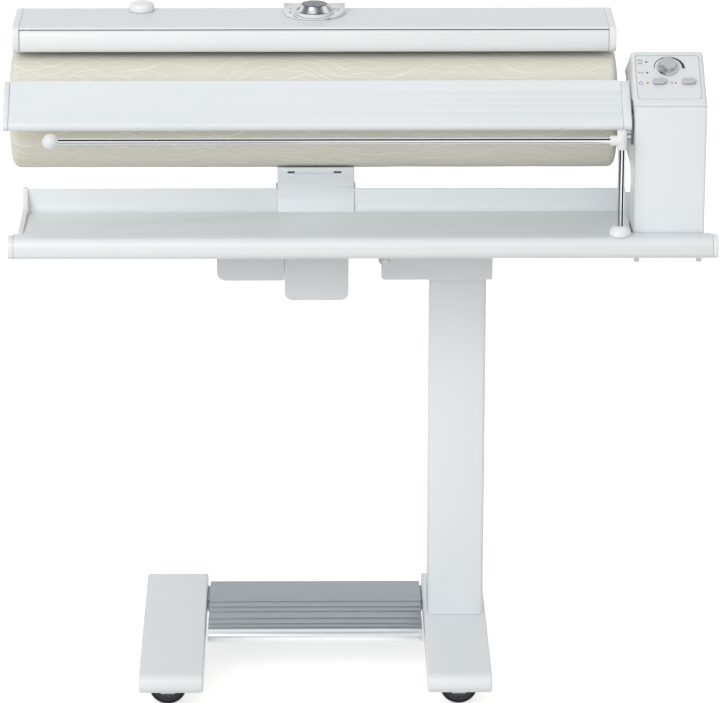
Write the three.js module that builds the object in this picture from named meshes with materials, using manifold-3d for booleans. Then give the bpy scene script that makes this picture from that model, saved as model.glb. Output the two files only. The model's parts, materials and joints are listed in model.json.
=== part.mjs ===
// Flatwork ironer (home rotary ironer) on a folding stand.
// Units are millimetres. +Z is up, -Y faces the person ironing, X runs along the roller.
// The origin lies on the floor, at the middle of the overall width and depth.
// Positions below are measured from the roller's axis (y = 0); the whole is moved at the end.

import * as THREE from 'three';
import { mergeVertices } from 'three/addons/utils/BufferGeometryUtils.js';
import Module from 'manifold-3d';

const wasm = await Module();
wasm.setup();

// ---------------------------------------------------------------- driving dimensions

const GAP = 0.3;                 // between pieces that touch
const RUN = 0.3;                 // radial play of a turning pin in its bore
const DEG = Math.PI / 180;

const FRONT_Y = -196;            // front of the tray lip and of the feet
const REAR_Y = 202;              // rear end of the feet

// Stand
const FOOT = { leftX: -264.5, rightX: 140, width: 90, bottom: 44, top: 72, nose: 14, corner: 5 };
const WHEEL = { radius: 26.5, width: 24, axle: 4, leftX: -271, rightX: 141, frontY: -111, rearY: 140 };
const CROSS_BAR = { frontY: 133, rearY: 169, bottom: 46, top: 65.5 };
const PEDAL = { leftX: -216, rightX: 92, rearY: 174, frontY: -27, top: 70, wall: 3, hingeY: 120, hingeZ: 58 };
const TREAD = { ribs: [95.7, 74.6, 57.2, 30.5, 9.9, -4], rearY: 107, frontY: -12, sunk: 0.6, rise: 1.3 };
const SWITCH = { leftX: -90, rightX: -60, frontY: 86, rearY: 112, top: 62 };
const COLUMN = { x: 140.3, width: 80, frontY: 35, rearY: 95, wall: 3, corner: 5 };
const BRACKET = { leftX: 31, rightX: 187, frontY: -5, rearY: 101, bottom: 593, top: 640, wall: 3 };
const FOLD = { x: 37, z: 621, pin: 3.5, head: 5 };
const LATCH = { x: 165, z: 606, pin: 3, collar: 5.5, open: 32, width: 10, tip: 660, offset: 5.5, lipY: 104 };

// Carrier under the tray
const CARRIER = { leftX: -195, rightX: 466, frontY: -150, top: 690, plate: 3, webFrontY: -20, webRearY: 101, webBottom: 655 };

// Boxes hung under the carrier
const UNDER_BOX = { frontY: -46, rearY: 88 };

// Tray
const TRAY = { leftX: -457.5, rightX: 368, floor: 704.5, wall: 3, wallTop: 736, rearY: -35.5 };
const LIP = { leftX: -469, rightX: 476, bottom: 680.5, top: 710, rearY: -164, cap: 7.5 };

// Roller
const ROLLER = { z: 842, radius: 82.8, coreRadius: 72, coreWall: 1.5, leftX: -479.5, rightX: 353.5, shaft: 12 };

// Heated plate unit, drawn lifted off the roller
const LIFT = { y: 100, z: 700, angle: 5 };
const PLATE = { clearance: 3.5, thickness: 7.1, from: -8, to: 108 };
const COVER = { leftX: -465, rightX: 340.5, frontY: -38, top: 965, rearY: 126, rearZ: 852, rearRound: 60, wall: 2.5, cap: 10 };

// Console at the right-hand end
const CONSOLE = { leftX: 370, rightX: 466.5, frontY: -160, pillarY: -89, rearY: 30, bottom: 690, headBottom: 780,
  seam: 885, wall: 3 };
const FASCIA = { leftX: 368, rightX: 466.5, slope: 30.1, startZ: 888, ridgeY: -72 };
const PANEL = { x: -0.75, s: 52.5, width: 87.5, length: 84, depth: 1.5 };
const DIAL = { x: -0.8, s: 70, skirt: 15, radius: 11, height: 10.5, shaft: 4 };
const BUTTON = { leftX: -13, rightX: 26.5, s: 42, width: 20, length: 10 };

const DRUM = { leftX: -475.5, rightX: 349.2 };

// Feed board
const BOARD = { leftX: -475.5, rightX: 354.5, noseY: -139, noseZ: 854.7, nose: 7.5, rearY: -82, rearZ: 900.7, wall: 3,
  capLeft: 7.7, capRight: 11.5 };

// Laundry pole
const POLE = { x: 351, y: -176, z: 842.5, post: 5.2, rod: 4.2, leftX: -411, ball: 11 };

// Arm cover between carrier and roller
const ARM = { leftX: -113.5, rightX: -7, frontY: -46, rearY: 84, clearance: 6, wall: 2.5 };

// Centre of the plate's arc while lifted: the roller axis turned back about the lift pivot
const liftBack = (y, z, angle) => {
  const c = Math.cos(angle * DEG);
  const s = Math.sin(angle * DEG);
  return [LIFT.y + (y - LIFT.y) * c + (z - LIFT.z) * s, LIFT.z - (y - LIFT.y) * s + (z - LIFT.z) * c];
};
const [PLATE_Y, PLATE_Z] = liftBack(0, ROLLER.z, LIFT.angle);
const PLATE_IN = ROLLER.radius + PLATE.clearance;
const PLATE_OUT = PLATE_IN + PLATE.thickness;

// ---------------------------------------------------------------- finishes

const finish = (color, roughness, metalness) => new THREE.MeshStandardMaterial({ color, roughness, metalness });
const WHITE_METAL = [0xe8eaeb, 0.35, 0.0];
const WHITE_PLASTIC = [0xeef0f0, 0.3, 0.0];
const GREY_METAL = [0xc9ccd0, 0.4, 0.0];
const ALUMINIUM = [0x9aa3a9, 0.35, 1.0];
const CHROME = [0xd8dadc, 0.08, 1.0];
const STEEL = [0x9a9da0, 0.4, 1.0];
const RUBBER = [0x1c1c1e, 0.8, 0.0];
const DARK_PLASTIC = [0x3a3c40, 0.5, 0.0];
const BUTTON_GREY = [0xb0b2b9, 0.4, 0.0];
const CLOTH = [0xdcd8c8, 0.9, 0.0];
const BOARD_GREEN = [0x2f6b3c, 0.6, 0.0];

const root = new THREE.Group();

function part(name, geometry, look, parent = root) {
  const mesh = new THREE.Mesh(geometry, finish(...look));
  mesh.name = name;
  parent.add(mesh);
  return mesh;
}

// ---------------------------------------------------------------- shapes

const vectors = (points) => points.map(([a, b]) => new THREE.Vector2(a, b));
const polygon = (points) => new THREE.Shape(vectors(points));

function arc(cy, cz, r, from, to, steps) {
  const points = [];
  for (let i = 0; i <= steps; i++) {
    const a = (from + ((to - from) * i) / steps) * DEG;
    points.push([cy + r * Math.cos(a), cz + r * Math.sin(a)]);
  }
  return points;
}

function roundedRect(x0, y0, x1, y1, r, steps = 3) {
  return [
    ...arc(x1 - r, y0 + r, r, -90, 0, steps),
    ...arc(x1 - r, y1 - r, r, 0, 90, steps),
    ...arc(x0 + r, y1 - r, r, 90, 180, steps),
    ...arc(x0 + r, y0 + r, r, 180, 270, steps),
  ];
}

// A line of points moved sideways by d, with its corners mitred
function offset(points, d) {
  return points.map((p, i) => {
    const before = points[Math.max(i - 1, 0)];
    const after = points[Math.min(i + 1, points.length - 1)];
    const n = [before, p, after].slice(0, -1).map((q, k) => {
      const r = [before, p, after][k + 1];
      const length = Math.hypot(r[0] - q[0], r[1] - q[1]);
      return length ? [-(r[1] - q[1]) / length, (r[0] - q[0]) / length] : null;
    }).filter(Boolean);
    const [a, b] = [n[0], n[n.length - 1]];
    const scale = d / (1 + a[0] * b[0] + a[1] * b[1]);
    return [p[0] + (a[0] + b[0]) * scale, p[1] + (a[1] + b[1]) * scale];
  });
}

// A strip of sheet or extruded wall: the outline of a thick line
const strip = (points, thickness) => [
  ...offset(points, thickness / 2),
  ...offset(points, -thickness / 2).reverse(),
];

// ---------------------------------------------------------------- solids

// Turns a geometry's faces outwards when its outline was drawn the other way round
function outward(geometry) {
  const p = geometry.attributes.position;
  const index = geometry.index ? geometry.index.array : [...Array(p.count).keys()];
  const [a, b, c] = [new THREE.Vector3(), new THREE.Vector3(), new THREE.Vector3()];
  let volume = 0;
  for (let i = 0; i < index.length; i += 3) {
    a.fromBufferAttribute(p, index[i]);
    b.fromBufferAttribute(p, index[i + 1]);
    c.fromBufferAttribute(p, index[i + 2]);
    volume += a.dot(b.cross(c));
  }
  if (volume < 0) {
    const turned = Array.from(index);
    for (let i = 0; i < turned.length; i += 3) [turned[i], turned[i + 1]] = [turned[i + 1], turned[i]];
    geometry.setIndex(turned);
  }
  return geometry;
}

function extrude(points, depth, holes = []) {
  const shape = polygon(points);
  shape.holes = holes.map((hole) => new THREE.Path(vectors(hole)));
  return new THREE.ExtrudeGeometry(shape, { depth, bevelEnabled: false });
}

const basis = (x, y, z) => new THREE.Matrix4().makeBasis(
  new THREE.Vector3(...x), new THREE.Vector3(...y), new THREE.Vector3(...z));

// Outlines given as (y, z), (x, z) or (x, y), drawn out along the third axis
const alongX = (points, x0, x1, holes) => outward(
  extrude(points, x1 - x0, holes).applyMatrix4(basis([0, 1, 0], [0, 0, 1], [1, 0, 0])).translate(x0, 0, 0));
const alongY = (points, y0, y1, holes) => outward(
  extrude(points, y1 - y0, holes).applyMatrix4(basis([1, 0, 0], [0, 0, 1], [0, -1, 0])).translate(0, y1, 0));
const alongZ = (points, z0, z1, holes) => outward(extrude(points, z1 - z0, holes).translate(0, 0, z0));

const box = (x0, x1, y0, y1, z0, z1) => new THREE.BoxGeometry(x1 - x0, y1 - y0, z1 - z0)
  .translate((x0 + x1) / 2, (y0 + y1) / 2, (z0 + z1) / 2);

// A turned piece: the profile is [distance along the axis, radius]
function turned(profile, axis, at, segments = 24) {
  const geometry = new THREE.LatheGeometry(vectors(profile.map(([along, r]) => [r, along])), segments);
  if (axis === 'x') geometry.rotateZ(-90 * DEG);
  if (axis === 'z') geometry.rotateX(90 * DEG);
  return outward(geometry.translate(...at));
}

const rod = (axis, at, r, from, to, segments = 16) =>
  turned([[from, 0], [from, r], [to, r], [to, 0]], axis, at, segments);

function manifold(geometry) {
  const g = geometry.clone();
  g.deleteAttribute('normal');
  g.deleteAttribute('uv');
  const merged = mergeVertices(g, 1e-4);
  return new wasm.Manifold(new wasm.Mesh({
    numProp: 3,
    vertProperties: new Float32Array(merged.attributes.position.array),
    triVerts: new Uint32Array(merged.index.array),
  }));
}

function geometryOf(solid) {
  const mesh = solid.getMesh();
  const geometry = new THREE.BufferGeometry();
  geometry.setAttribute('position', new THREE.BufferAttribute(new Float32Array(mesh.vertProperties), 3));
  geometry.setIndex(Array.from(mesh.triVerts));
  return geometry;
}

// Joins the first list of geometries and cuts the second list out of them
function build(joined, cuts = []) {
  let solid = manifold(joined[0]);
  for (const g of joined.slice(1)) solid = solid.add(manifold(g));
  for (const g of cuts) solid = solid.subtract(manifold(g));
  return geometryOf(solid);
}

const common = (a, b) => geometryOf(manifold(a).intersect(manifold(b)));

// ---------------------------------------------------------------- stand

function footBeam(centreX, wheelX) {
  const { bottom, top, nose, width, corner } = FOOT;
  const middle = (bottom + top) / 2;
  const side = [
    [REAR_Y, bottom],
    [REAR_Y, top],
    ...arc(FRONT_Y + nose, middle, nose, 90, 270, 10),
  ];
  const plan = roundedRect(centreX - width / 2, FRONT_Y, centreX + width / 2, REAR_Y, corner);
  const beam = common(
    alongX(side, centreX - width / 2, centreX + width / 2),
    alongZ(plan, bottom - 1, top + 1));
  const forks = [];
  const bores = [];
  const inner = [
    [REAR_Y - 4, bottom - 1],
    [REAR_Y - 4, top - 3],
    ...arc(FRONT_Y + nose, middle, nose - 3, 90, 180, 5),
    [FRONT_Y + 3, bottom - 1],
  ];
  const cuts = [alongX(inner, centreX - width / 2 + 3, centreX + width / 2 - 3)];
  for (const y of [WHEEL.frontY, WHEEL.rearY]) {
    const half = WHEEL.width / 2;
    for (const [y0, y1] of [[y - half - 5, y - half - 1], [y + half + 1, y + half + 5]]) {
      forks.push(box(wheelX - 10, wheelX + 10, y0, y1, 18, top - 2));
    }
    bores.push(rod('y', [wheelX, 0, WHEEL.radius], WHEEL.axle + RUN, y - half - 6, y + half + 6, 12));
  }
  const shell = build([beam], cuts);
  return build([shell, ...forks], bores);
}

function wheel(x, y) {
  const { radius, width, axle } = WHEEL;
  const half = width / 2;
  const pin = half + 5;
  return turned([
    [-pin, 0], [-pin, axle], [-half, axle], [-half, 19], [-half + 2, 20.5], [-half + 2, radius - 2],
    [-half + 4, radius], [half - 4, radius], [half - 2, radius - 2], [half - 2, 20.5], [half, 19],
    [half, axle], [pin, axle], [pin, 0],
  ], 'y', [x, y, radius], 20);
}

function crossBar() {
  const x0 = FOOT.leftX + FOOT.width / 2 + GAP;
  const x1 = FOOT.rightX - FOOT.width / 2 - GAP;
  const { frontY, rearY, bottom, top } = CROSS_BAR;
  const lug = (x) => box(x, x + 6, PEDAL.hingeY - 9, frontY + 1, 48, 65);
  const tube = alongX(roundedRect(frontY, bottom, rearY, top, 2, 1), x0, x1,
    [roundedRect(frontY + 3, bottom + 3, rearY - 3, top - 3, 1, 1).reverse()]);
  const tongue = box(SWITCH.leftX - 5, SWITCH.rightX + 5, SWITCH.frontY - 2, frontY + 1, bottom, bottom + 3);
  return build([tube, lug(x0), lug(x1 - 6), tongue],
    [rod('x', [0, PEDAL.hingeY, PEDAL.hingeZ], 4 + RUN, x0 - 1, x1 + 1, 12)]);
}

// Foot pedal: one folded sheet with a plain band at the rear, six tread ribs and a rolled nose
function pedal() {
  const { leftX, rightX, rearY, frontY, top, wall, hingeY, hingeZ } = PEDAL;
  const mid = top - wall / 2;
  const low = mid - TREAD.sunk;
  const high = low + TREAD.rise;
  const nose = 7.5;
  const tread = TREAD.ribs.flatMap((y) => [[y + 3.4, low], [y + 1.6, high], [y - 1.6, high], [y - 3.4, low]]);
  const line = [
    [rearY, mid],
    [TREAD.rearY + 3, mid],
    [TREAD.rearY, low],
    ...tread,
    [TREAD.frontY, low],
    [TREAD.frontY - 3, mid],
    ...arc(frontY + wall / 2 + nose, mid - nose, nose, 90, 240, 7),
  ];
  const plate = alongX(strip(line, wall), leftX, rightX);
  const ear = (x) => box(x, x + 5, hingeY - 8, hingeY + 8, hingeZ - 7, top - 1);
  const rib = (x) => box(x, x + 3, frontY + 8, hingeY - 12, hingeZ + 2, top - 1);
  return build([plate, ear(leftX + 14), ear(rightX - 19), rib(leftX), rib(rightX - 3)],
    [rod('x', [0, hingeY, hingeZ], 4 + RUN, leftX - 1, rightX + 1, 12)]);
}

// Torsion spring wound round the pedal's hinge rod
function pedalSpring() {
  const turns = 5;
  const steps = turns * 8;
  const [r, pitch, wire] = [5.4, 2.4, 0.9];
  class Helix extends THREE.Curve {
    getPoint(t, target = new THREE.Vector3()) {
      const a = t * turns * 2 * Math.PI;
      return target.set(-20 + t * turns * pitch, PEDAL.hingeY + r * Math.cos(a), PEDAL.hingeZ + r * Math.sin(a));
    }
  }
  const section = polygon(arc(0, 0, wire, 0, 288, 4));
  return outward(new THREE.ExtrudeGeometry(section, { steps, extrudePath: new Helix(), bevelEnabled: false }));
}

function column() {
  const { x, width, frontY, rearY, wall, corner } = COLUMN;
  const outer = roundedRect(x - width / 2, frontY, x + width / 2, rearY, corner);
  const inner = roundedRect(x - width / 2 + wall, frontY + wall, x + width / 2 - wall, rearY - wall, corner - wall);
  return alongZ(outer, FOOT.top + GAP, BRACKET.bottom - GAP, [inner.reverse()]);
}

function headBracket() {
  const { leftX, rightX, frontY, rearY, bottom, top, wall } = BRACKET;
  const cheek = roundedRect(leftX, bottom, rightX, top, 4, 2);
  return build([
    alongY(cheek, frontY, frontY + wall),
    alongY(cheek, rearY - wall, rearY),
    box(leftX + 4, rightX, frontY + 1, rearY - 1, bottom, bottom + wall),
    box(rightX - wall, rightX, frontY + 1, rearY - 1, bottom + 1, top - 4),
  ], [
    rod('y', [FOLD.x, 0, FOLD.z], FOLD.pin + RUN, frontY - 1, rearY + 1, 12),
    rod('y', [LATCH.x, 0, LATCH.z], LATCH.pin + RUN, rearY - wall - 1, rearY + 1, 12),
  ]);
}

function foldPin() {
  const face = BRACKET.frontY - GAP;
  return turned([
    [face - 3.5, 0], [face - 3.5, FOLD.head - 1.5], [face - 2, FOLD.head], [face, FOLD.head],
    [face, FOLD.pin], [BRACKET.rearY + 6, FOLD.pin], [BRACKET.rearY + 6, 0],
  ], 'y', [FOLD.x, 0, FOLD.z], 16);
}

// Hook on the bracket's rear cheek, drawn swung clear of the carrier's stud. A collar holds it off
// the cheek, and its tip has a lip turned forward, which reaches over the stud when the hook is up.
function foldLatch() {
  const { width, tip, pin, collar, offset, lipY } = LATCH;
  const y0 = BRACKET.rearY + offset;
  const half = width / 2;
  const up = tip - LATCH.z;
  const tipX = -19;
  const flat = alongY([[-half, -8], [half, -8], [half, up], [-half, up]], y0, y0 + 4);
  const lip = box(tipX, 1 - half, lipY, y0 + 4, up - 6.5, up);
  const spacer = rod('y', [0, 0, 0], collar, BRACKET.rearY + 0.3, y0 + 1, 16);
  const pivot = rod('y', [0, 0, 0], pin, BRACKET.rearY - BRACKET.wall, y0 + 1, 12);
  return build([flat, lip, spacer, pivot]);
}

part('left_foot_beam', footBeam(FOOT.leftX, WHEEL.leftX), WHITE_METAL);
part('right_foot_beam', footBeam(FOOT.rightX, WHEEL.rightX), WHITE_METAL);
for (const [side, x] of [['left', WHEEL.leftX], ['right', WHEEL.rightX]]) {
  part(`wheel_front_${side}`, wheel(x, WHEEL.frontY), RUBBER);
  part(`wheel_rear_${side}`, wheel(x, WHEEL.rearY), RUBBER);
}
part('base_cross_bar', crossBar(), ALUMINIUM);
part('foot_pedal', pedal(), ALUMINIUM);
part('pedal_hinge_rod', rod('x', [0, PEDAL.hingeY, PEDAL.hingeZ], 4, -218.9, 94.9, 12), STEEL);
part('pedal_spring', pedalSpring(), STEEL);
part('pedal_switch', box(SWITCH.leftX, SWITCH.rightX, SWITCH.frontY, SWITCH.rearY,
  CROSS_BAR.bottom + 3 + GAP, SWITCH.top), DARK_PLASTIC);
part('column', column(), WHITE_METAL);
part('head_bracket', headBracket(), GREY_METAL);
part('fold_pin', foldPin(), WHITE_METAL);
const latch = part('fold_latch', foldLatch(), GREY_METAL);
latch.position.set(LATCH.x, 0, LATCH.z);
latch.rotation.y = LATCH.open * DEG;

// ---------------------------------------------------------------- carrier, tray and boxes

// Slotted tail of the press arm and the crank that moves it
const TAIL = { leftX: -84.5, rightX: -77, y: 45, z: 628, half: 9, slot: 8, pin: 3, play: 1.2 };
const tailReach = Math.hypot(TAIL.y - LIFT.y, TAIL.z - LIFT.z);
const CRANK_THROW = (tailReach * LIFT.angle * DEG) / 2;
const tailWay = [(LIFT.z - TAIL.z) / tailReach, (TAIL.y - LIFT.y) / tailReach];
const CRANK = { y: TAIL.y + tailWay[0] * CRANK_THROW, z: TAIL.z + tailWay[1] * CRANK_THROW };

function carrier() {
  const { leftX, rightX, frontY, top, plate, webFrontY, webRearY, webBottom } = CARRIER;
  const saddleLeft = FOLD.x + 8;
  const saddleZ = BRACKET.top + GAP;
  const lug = (y) => {
    const outline = [
      [FOLD.x + 23, top - 1], [FOLD.x - 10, top - 1],
      ...arc(FOLD.x, FOLD.z, 10, 180, 360, 8), [FOLD.x + 23, saddleZ],
    ];
    return alongY(outline, y, y + 4);
  };
  const pivotLug = (x) => {
    const outline = [[LIFT.y - 12, top - 1], [LIFT.y + 12, top - 1], ...arc(LIFT.y, LIFT.z, 12, 0, 180, 6)];
    return alongX(outline, x, x + 6);
  };
  const stud = rod('y', [152, 0, 648], 4, webRearY - 1, webRearY + 5, 12);
  const buffer = (x) => rod('z', [x, -140, 0], 4, 662, top - 1, 10);
  return build([
    box(leftX, rightX, frontY, webRearY, top - plate, top),
    box(leftX, rightX, frontY, frontY + plate, top - 14, top - 1),
    box(leftX, rightX, webFrontY, webFrontY + plate, webBottom, top - 1),
    box(leftX, rightX, webRearY - plate, webRearY, webBottom, top - 1),
    box(leftX, -8, webRearY - 1, LIFT.y + 14, top - plate, top),
    box(saddleLeft, BRACKET.rightX, webFrontY, webRearY, saddleZ, saddleZ + plate),
    box(saddleLeft, BRACKET.rightX, webFrontY, webFrontY + plate, saddleZ, webBottom + 1),
    box(saddleLeft, BRACKET.rightX, webRearY - plate, webRearY, saddleZ, webBottom + 1),
    lug(2), lug(88), pivotLug(-112), pivotLug(-14), stud, buffer(377), buffer(462),
  ], [
    rod('y', [FOLD.x, 0, FOLD.z], FOLD.pin + RUN, 1, 93, 12),
    rod('x', [0, LIFT.y, LIFT.z], 5 + RUN, -113, -7, 12),
    box(TAIL.leftX - 6, TAIL.rightX + 6, 20, LIFT.y + 10, webBottom - 1, top + 1),
  ]);
}

const lipLine = [
  [-168, LIP.bottom + 1.5],
  ...arc(-184.5, LIP.bottom + 11.5, 10, 270, 180, 5),
  ...arc(-184.5, LIP.top - 11.5, 10, 180, 90, 5),
  [-170, LIP.top - 1.5],
];
const troughLine = [
  [LIP.rearY, TRAY.floor - 1.5],
  [-50, TRAY.floor - 1.5],
  ...arc(-50, TRAY.floor + 10.5, 12, 290, 340, 3),
  [TRAY.rearY - 1.5, TRAY.wallTop],
];
const lipOutline = [
  [-166, LIP.bottom],
  ...arc(-184.5, LIP.bottom + 11.5, 11.5, 270, 180, 5),
  ...arc(-184.5, LIP.top - 11.5, 11.5, 180, 90, 5),
  [-170, LIP.top],
  [LIP.rearY, TRAY.floor],
];

function tray() {
  const arm = box(ARM.leftX - GAP, ARM.rightX + GAP, ARM.frontY - GAP, 0, 640, 760);
  const leg = (y) => box(TRAY.leftX, TRAY.rightX, y, y + 3, CARRIER.top + GAP, TRAY.floor - 1);
  return build([
    alongX(strip([...lipLine, ...troughLine], TRAY.wall), LIP.leftX, LIP.rightX),
    leg(-140), leg(-62),
  ], [
    box(LIP.leftX - 1, TRAY.leftX, LIP.rearY + 2, 0, 640, 760),
    box(TRAY.rightX, LIP.rightX + 1, LIP.rearY + 2, 0, 640, 760),
    arm,
    rod('z', [POLE.x, POLE.y, 0], 4 + RUN, 680, 720, 12),
  ]);
}

function trayLeftCap() {
  const trough = [
    [LIP.rearY + 3, TRAY.floor - 6], [-60, TRAY.floor - 6], [-44, TRAY.floor - 2], [-34, TRAY.floor + 10],
    [-32, TRAY.wallTop + 1], [-40, TRAY.wallTop + 1], [-48, TRAY.floor + 14], [-60, TRAY.floor + 6],
    [LIP.rearY + 3, TRAY.floor + 6],
  ];
  return build([
    alongX(lipOutline, LIP.leftX - LIP.cap - GAP, LIP.leftX - GAP),
    alongX(trough, TRAY.leftX - LIP.cap, TRAY.leftX - GAP),
    box(LIP.leftX - 3, TRAY.leftX - 2, LIP.rearY + 2.5, LIP.rearY + 6, TRAY.floor - 6, TRAY.floor + 3),
    box(LIP.leftX - 3, LIP.leftX - GAP, LIP.rearY - 8, LIP.rearY + 6, TRAY.floor - 6, TRAY.floor),
  ]);
}

// Box hung under the carrier, open at the top; its outline is seen from the front
function underBox(x0, x1, bottom, radii) {
  const top = CARRIER.webBottom - GAP;
  const wall = 2.5;
  const outline = (inset, lid) => [
    [x0 + inset, lid],
    ...arc(x0 + radii[0], bottom + radii[0], radii[0] - inset, 180, 270, 4),
    ...arc(x1 - radii[1], bottom + radii[1], radii[1] - inset, 270, 360, 4),
    [x1 - inset, lid],
  ];
  const { frontY, rearY } = UNDER_BOX;
  return build([alongY(outline(0, top), frontY, rearY)],
    [alongY(outline(wall, top + 1), frontY + wall, rearY - wall)]);
}

function plateMotor() {
  const at = [0, CRANK.y, CRANK.z];
  return build([
    turned([[-67.2, 0], [-67.2, 24], [-63, 28], [-48, 28], [-46, 22], [-22, 22], [-22, 0]], 'x', at, 20),
    box(-62, -50, CRANK.y - 12, CRANK.y + 12, CRANK.z + 10, CARRIER.top - CARRIER.plate - GAP),
  ]);
}

function plateCrank() {
  const pin = [0, TAIL.y, TAIL.z];
  return build([
    rod('x', [0, CRANK.y, CRANK.z], 12, -75.5, -67.5, 16),
    rod('x', pin, TAIL.pin, -86, -75, 10),
  ]);
}

part('carrier_beam', carrier(), GREY_METAL);
part('tray', tray(), WHITE_METAL);
part('tray_left_cap', trayLeftCap(), WHITE_PLASTIC);
part('tray_right_cap', alongX(lipOutline, LIP.rightX + GAP, LIP.rightX + LIP.cap), WHITE_PLASTIC);
part('under_box_left', underBox(-198, -104.3, 605, [12, 3]), GREY_METAL);
part('under_box_right', underBox(-104, -15, 576, [11, 11]), GREY_METAL);
part('plate_motor', plateMotor(), STEEL);
part('plate_crank', plateCrank(), STEEL);

// ---------------------------------------------------------------- arm

function armCover() {
  const r = ROLLER.radius + ARM.clearance;
  const angleAt = (y) => -Math.acos(y / r) / DEG;
  const outline = (inset, bottom) => {
    const radius = r + inset;
    const left = ARM.frontY + inset;
    const under = arc(0, ROLLER.z, radius, -180 - angleAt(-ARM.frontY - 2), angleAt(36), 9);
    return [
      [left, bottom], [left, 712], [left + 1.5, 730], [left + 0.5, 750],
      [ARM.frontY - 1 + inset * 1.2, 763 - inset * 0.4],
      ...under.slice(inset ? 1 : 0),
      [ARM.rearY - inset, 746 - inset * 1.1], [ARM.rearY - inset, bottom],
    ];
  };
  return build(
    [alongX(outline(0, CARRIER.top + GAP), ARM.leftX, ARM.rightX)],
    [
      alongX(outline(ARM.wall, CARRIER.top - 1), ARM.leftX + ARM.wall, ARM.rightX - ARM.wall),
      box(TAIL.leftX - 4, TAIL.rightX + 4, ARM.rearY - 6, ARM.rearY + 1, CARRIER.top - 1, 703),
    ]);
}

function pressArm() {
  const side = [
    [94, 702], [106.6, 718], [106.6, 925], [116, 925], [116, 712], [108, 697],
  ];
  const along = [(TAIL.y - LIFT.y) / tailReach, (TAIL.z - LIFT.z) / tailReach];
  const bar = (from, to, half) => [
    [from, half], [to, half], [to, -half], [from, -half],
  ].map(([a, b]) => [LIFT.y + along[0] * a + tailWay[0] * b, LIFT.z + along[1] * a + tailWay[1] * b]);
  return build([
    alongX(side, -100, -20),
    rod('x', [0, LIFT.y, LIFT.z], 9, -105.5, -14.5, 16),
    alongX(bar(0, tailReach + 14, TAIL.half), TAIL.leftX, TAIL.rightX),
  ], [
    alongX(bar(tailReach - TAIL.slot, tailReach + TAIL.slot, TAIL.pin + TAIL.play), TAIL.leftX - 1, TAIL.rightX + 1),
    rod('x', [0, LIFT.y, LIFT.z], 5 + RUN, -106, -14, 12),
  ]);
}

part('arm_cover', armCover(), WHITE_METAL);
part('press_arm', pressArm(), GREY_METAL);
part('press_arm_pin', rod('x', [0, LIFT.y, LIFT.z], 5, -116, -4, 12), STEEL);

// ---------------------------------------------------------------- roller

function rollerCore() {
  const { coreRadius: r, coreWall: w } = ROLLER;
  const bore = ROLLER.shaft + RUN;
  return turned([
    [DRUM.leftX, 0], [DRUM.leftX, r], [DRUM.rightX, r], [DRUM.rightX, bore], [DRUM.rightX - 5, bore],
    [DRUM.rightX - 5, r - w], [DRUM.leftX + 3, r - w], [DRUM.leftX + 3, 0],
  ], 'x', [0, 0, ROLLER.z], 32);
}

// Padding and cloth: a sleeve drawn in over both ends of the drum
function rollerCover() {
  const { leftX, rightX, radius, coreRadius } = ROLLER;
  const [inside, lip] = [coreRadius + GAP, 60];
  const drumLeft = DRUM.leftX - GAP;
  const drumRight = DRUM.rightX + GAP;
  return turned([
    [drumLeft, lip], [leftX + 1, lip + 2], [leftX, lip + 8], [leftX + 0.5, 71], [leftX + 3, 76.5], [leftX + 7, 80],
    [leftX + 13, radius], [rightX - 11, radius], [rightX - 5.5, 79.5], [rightX - 2, 75.5], [rightX, 70],
    [rightX, lip + 8], [rightX - 1, lip + 2], [drumRight, lip], [drumRight, inside], [drumLeft, inside],
    [drumLeft, lip],
  ], 'x', [0, 0, ROLLER.z], 40);
}

function rollerShaft() {
  const s = ROLLER.shaft;
  return turned([
    [330, 0], [330, s], [349.5, s], [349.5, 46], [353.2, 46], [353.2, 18], [362, s], [434, s], [434, 0],
  ], 'x', [0, 0, ROLLER.z], 24);
}

part('roller_core', rollerCore(), STEEL);
part('roller_cover', rollerCover(), CLOTH);
part('roller_shaft', rollerShaft(), STEEL);

// ---------------------------------------------------------------- heated plate unit

const fromPlate = (r, from, to, steps) => arc(PLATE_Y, PLATE_Z, r, from, to, steps);

function heaterPlate() {
  const { from, to } = PLATE;
  const outline = [
    ...fromPlate(PLATE_IN, from, to, 16),
    [-27, 932.6], [-31, 939.5], [-24.5, 942.5],
    ...fromPlate(PLATE_OUT, to, from, 16),
  ];
  return alongX(outline, COVER.leftX, COVER.rightX);
}

// Tubular element: two long legs on the plate's back, joined at the left end
function heatingElement() {
  const bend = fromPlate(PLATE_OUT + 3.5 + GAP, 84, 104, 4);
  const [a, b] = [bend[0], bend[4]];
  return build([
    rod('x', [0, ...a], 3.5, -450, 322, 8),
    rod('x', [0, ...b], 3.5, -450, 322, 8),
    alongX(strip(bend, 6.8), -454, -447),
  ]);
}

const coverTop = COVER.top - COVER.wall / 2;
const coverRear = COVER.rearY - COVER.wall / 2;
const rearCentre = [COVER.rearY - COVER.rearRound, COVER.top - COVER.rearRound];

function heaterCover() {
  const r = COVER.rearRound - COVER.wall / 2;
  const line = [
    [COVER.frontY, 961.5], [COVER.frontY + 0.8, coverTop + 0.4], [rearCentre[0], coverTop],
    ...arc(...rearCentre, r, 80, 0, 7), [coverRear, COVER.rearZ],
  ];
  return build([alongX(strip(line, COVER.wall), COVER.leftX, COVER.rightX)], [
    rod('z', [FILLER.x, FILLER.y, 0], FILLER.neck + GAP, 940, 980, 16),
    rod('z', [TEMP.x, TEMP.y, 0], TEMP.stem + 1, 955, 970, 12),
  ]);
}

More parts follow.
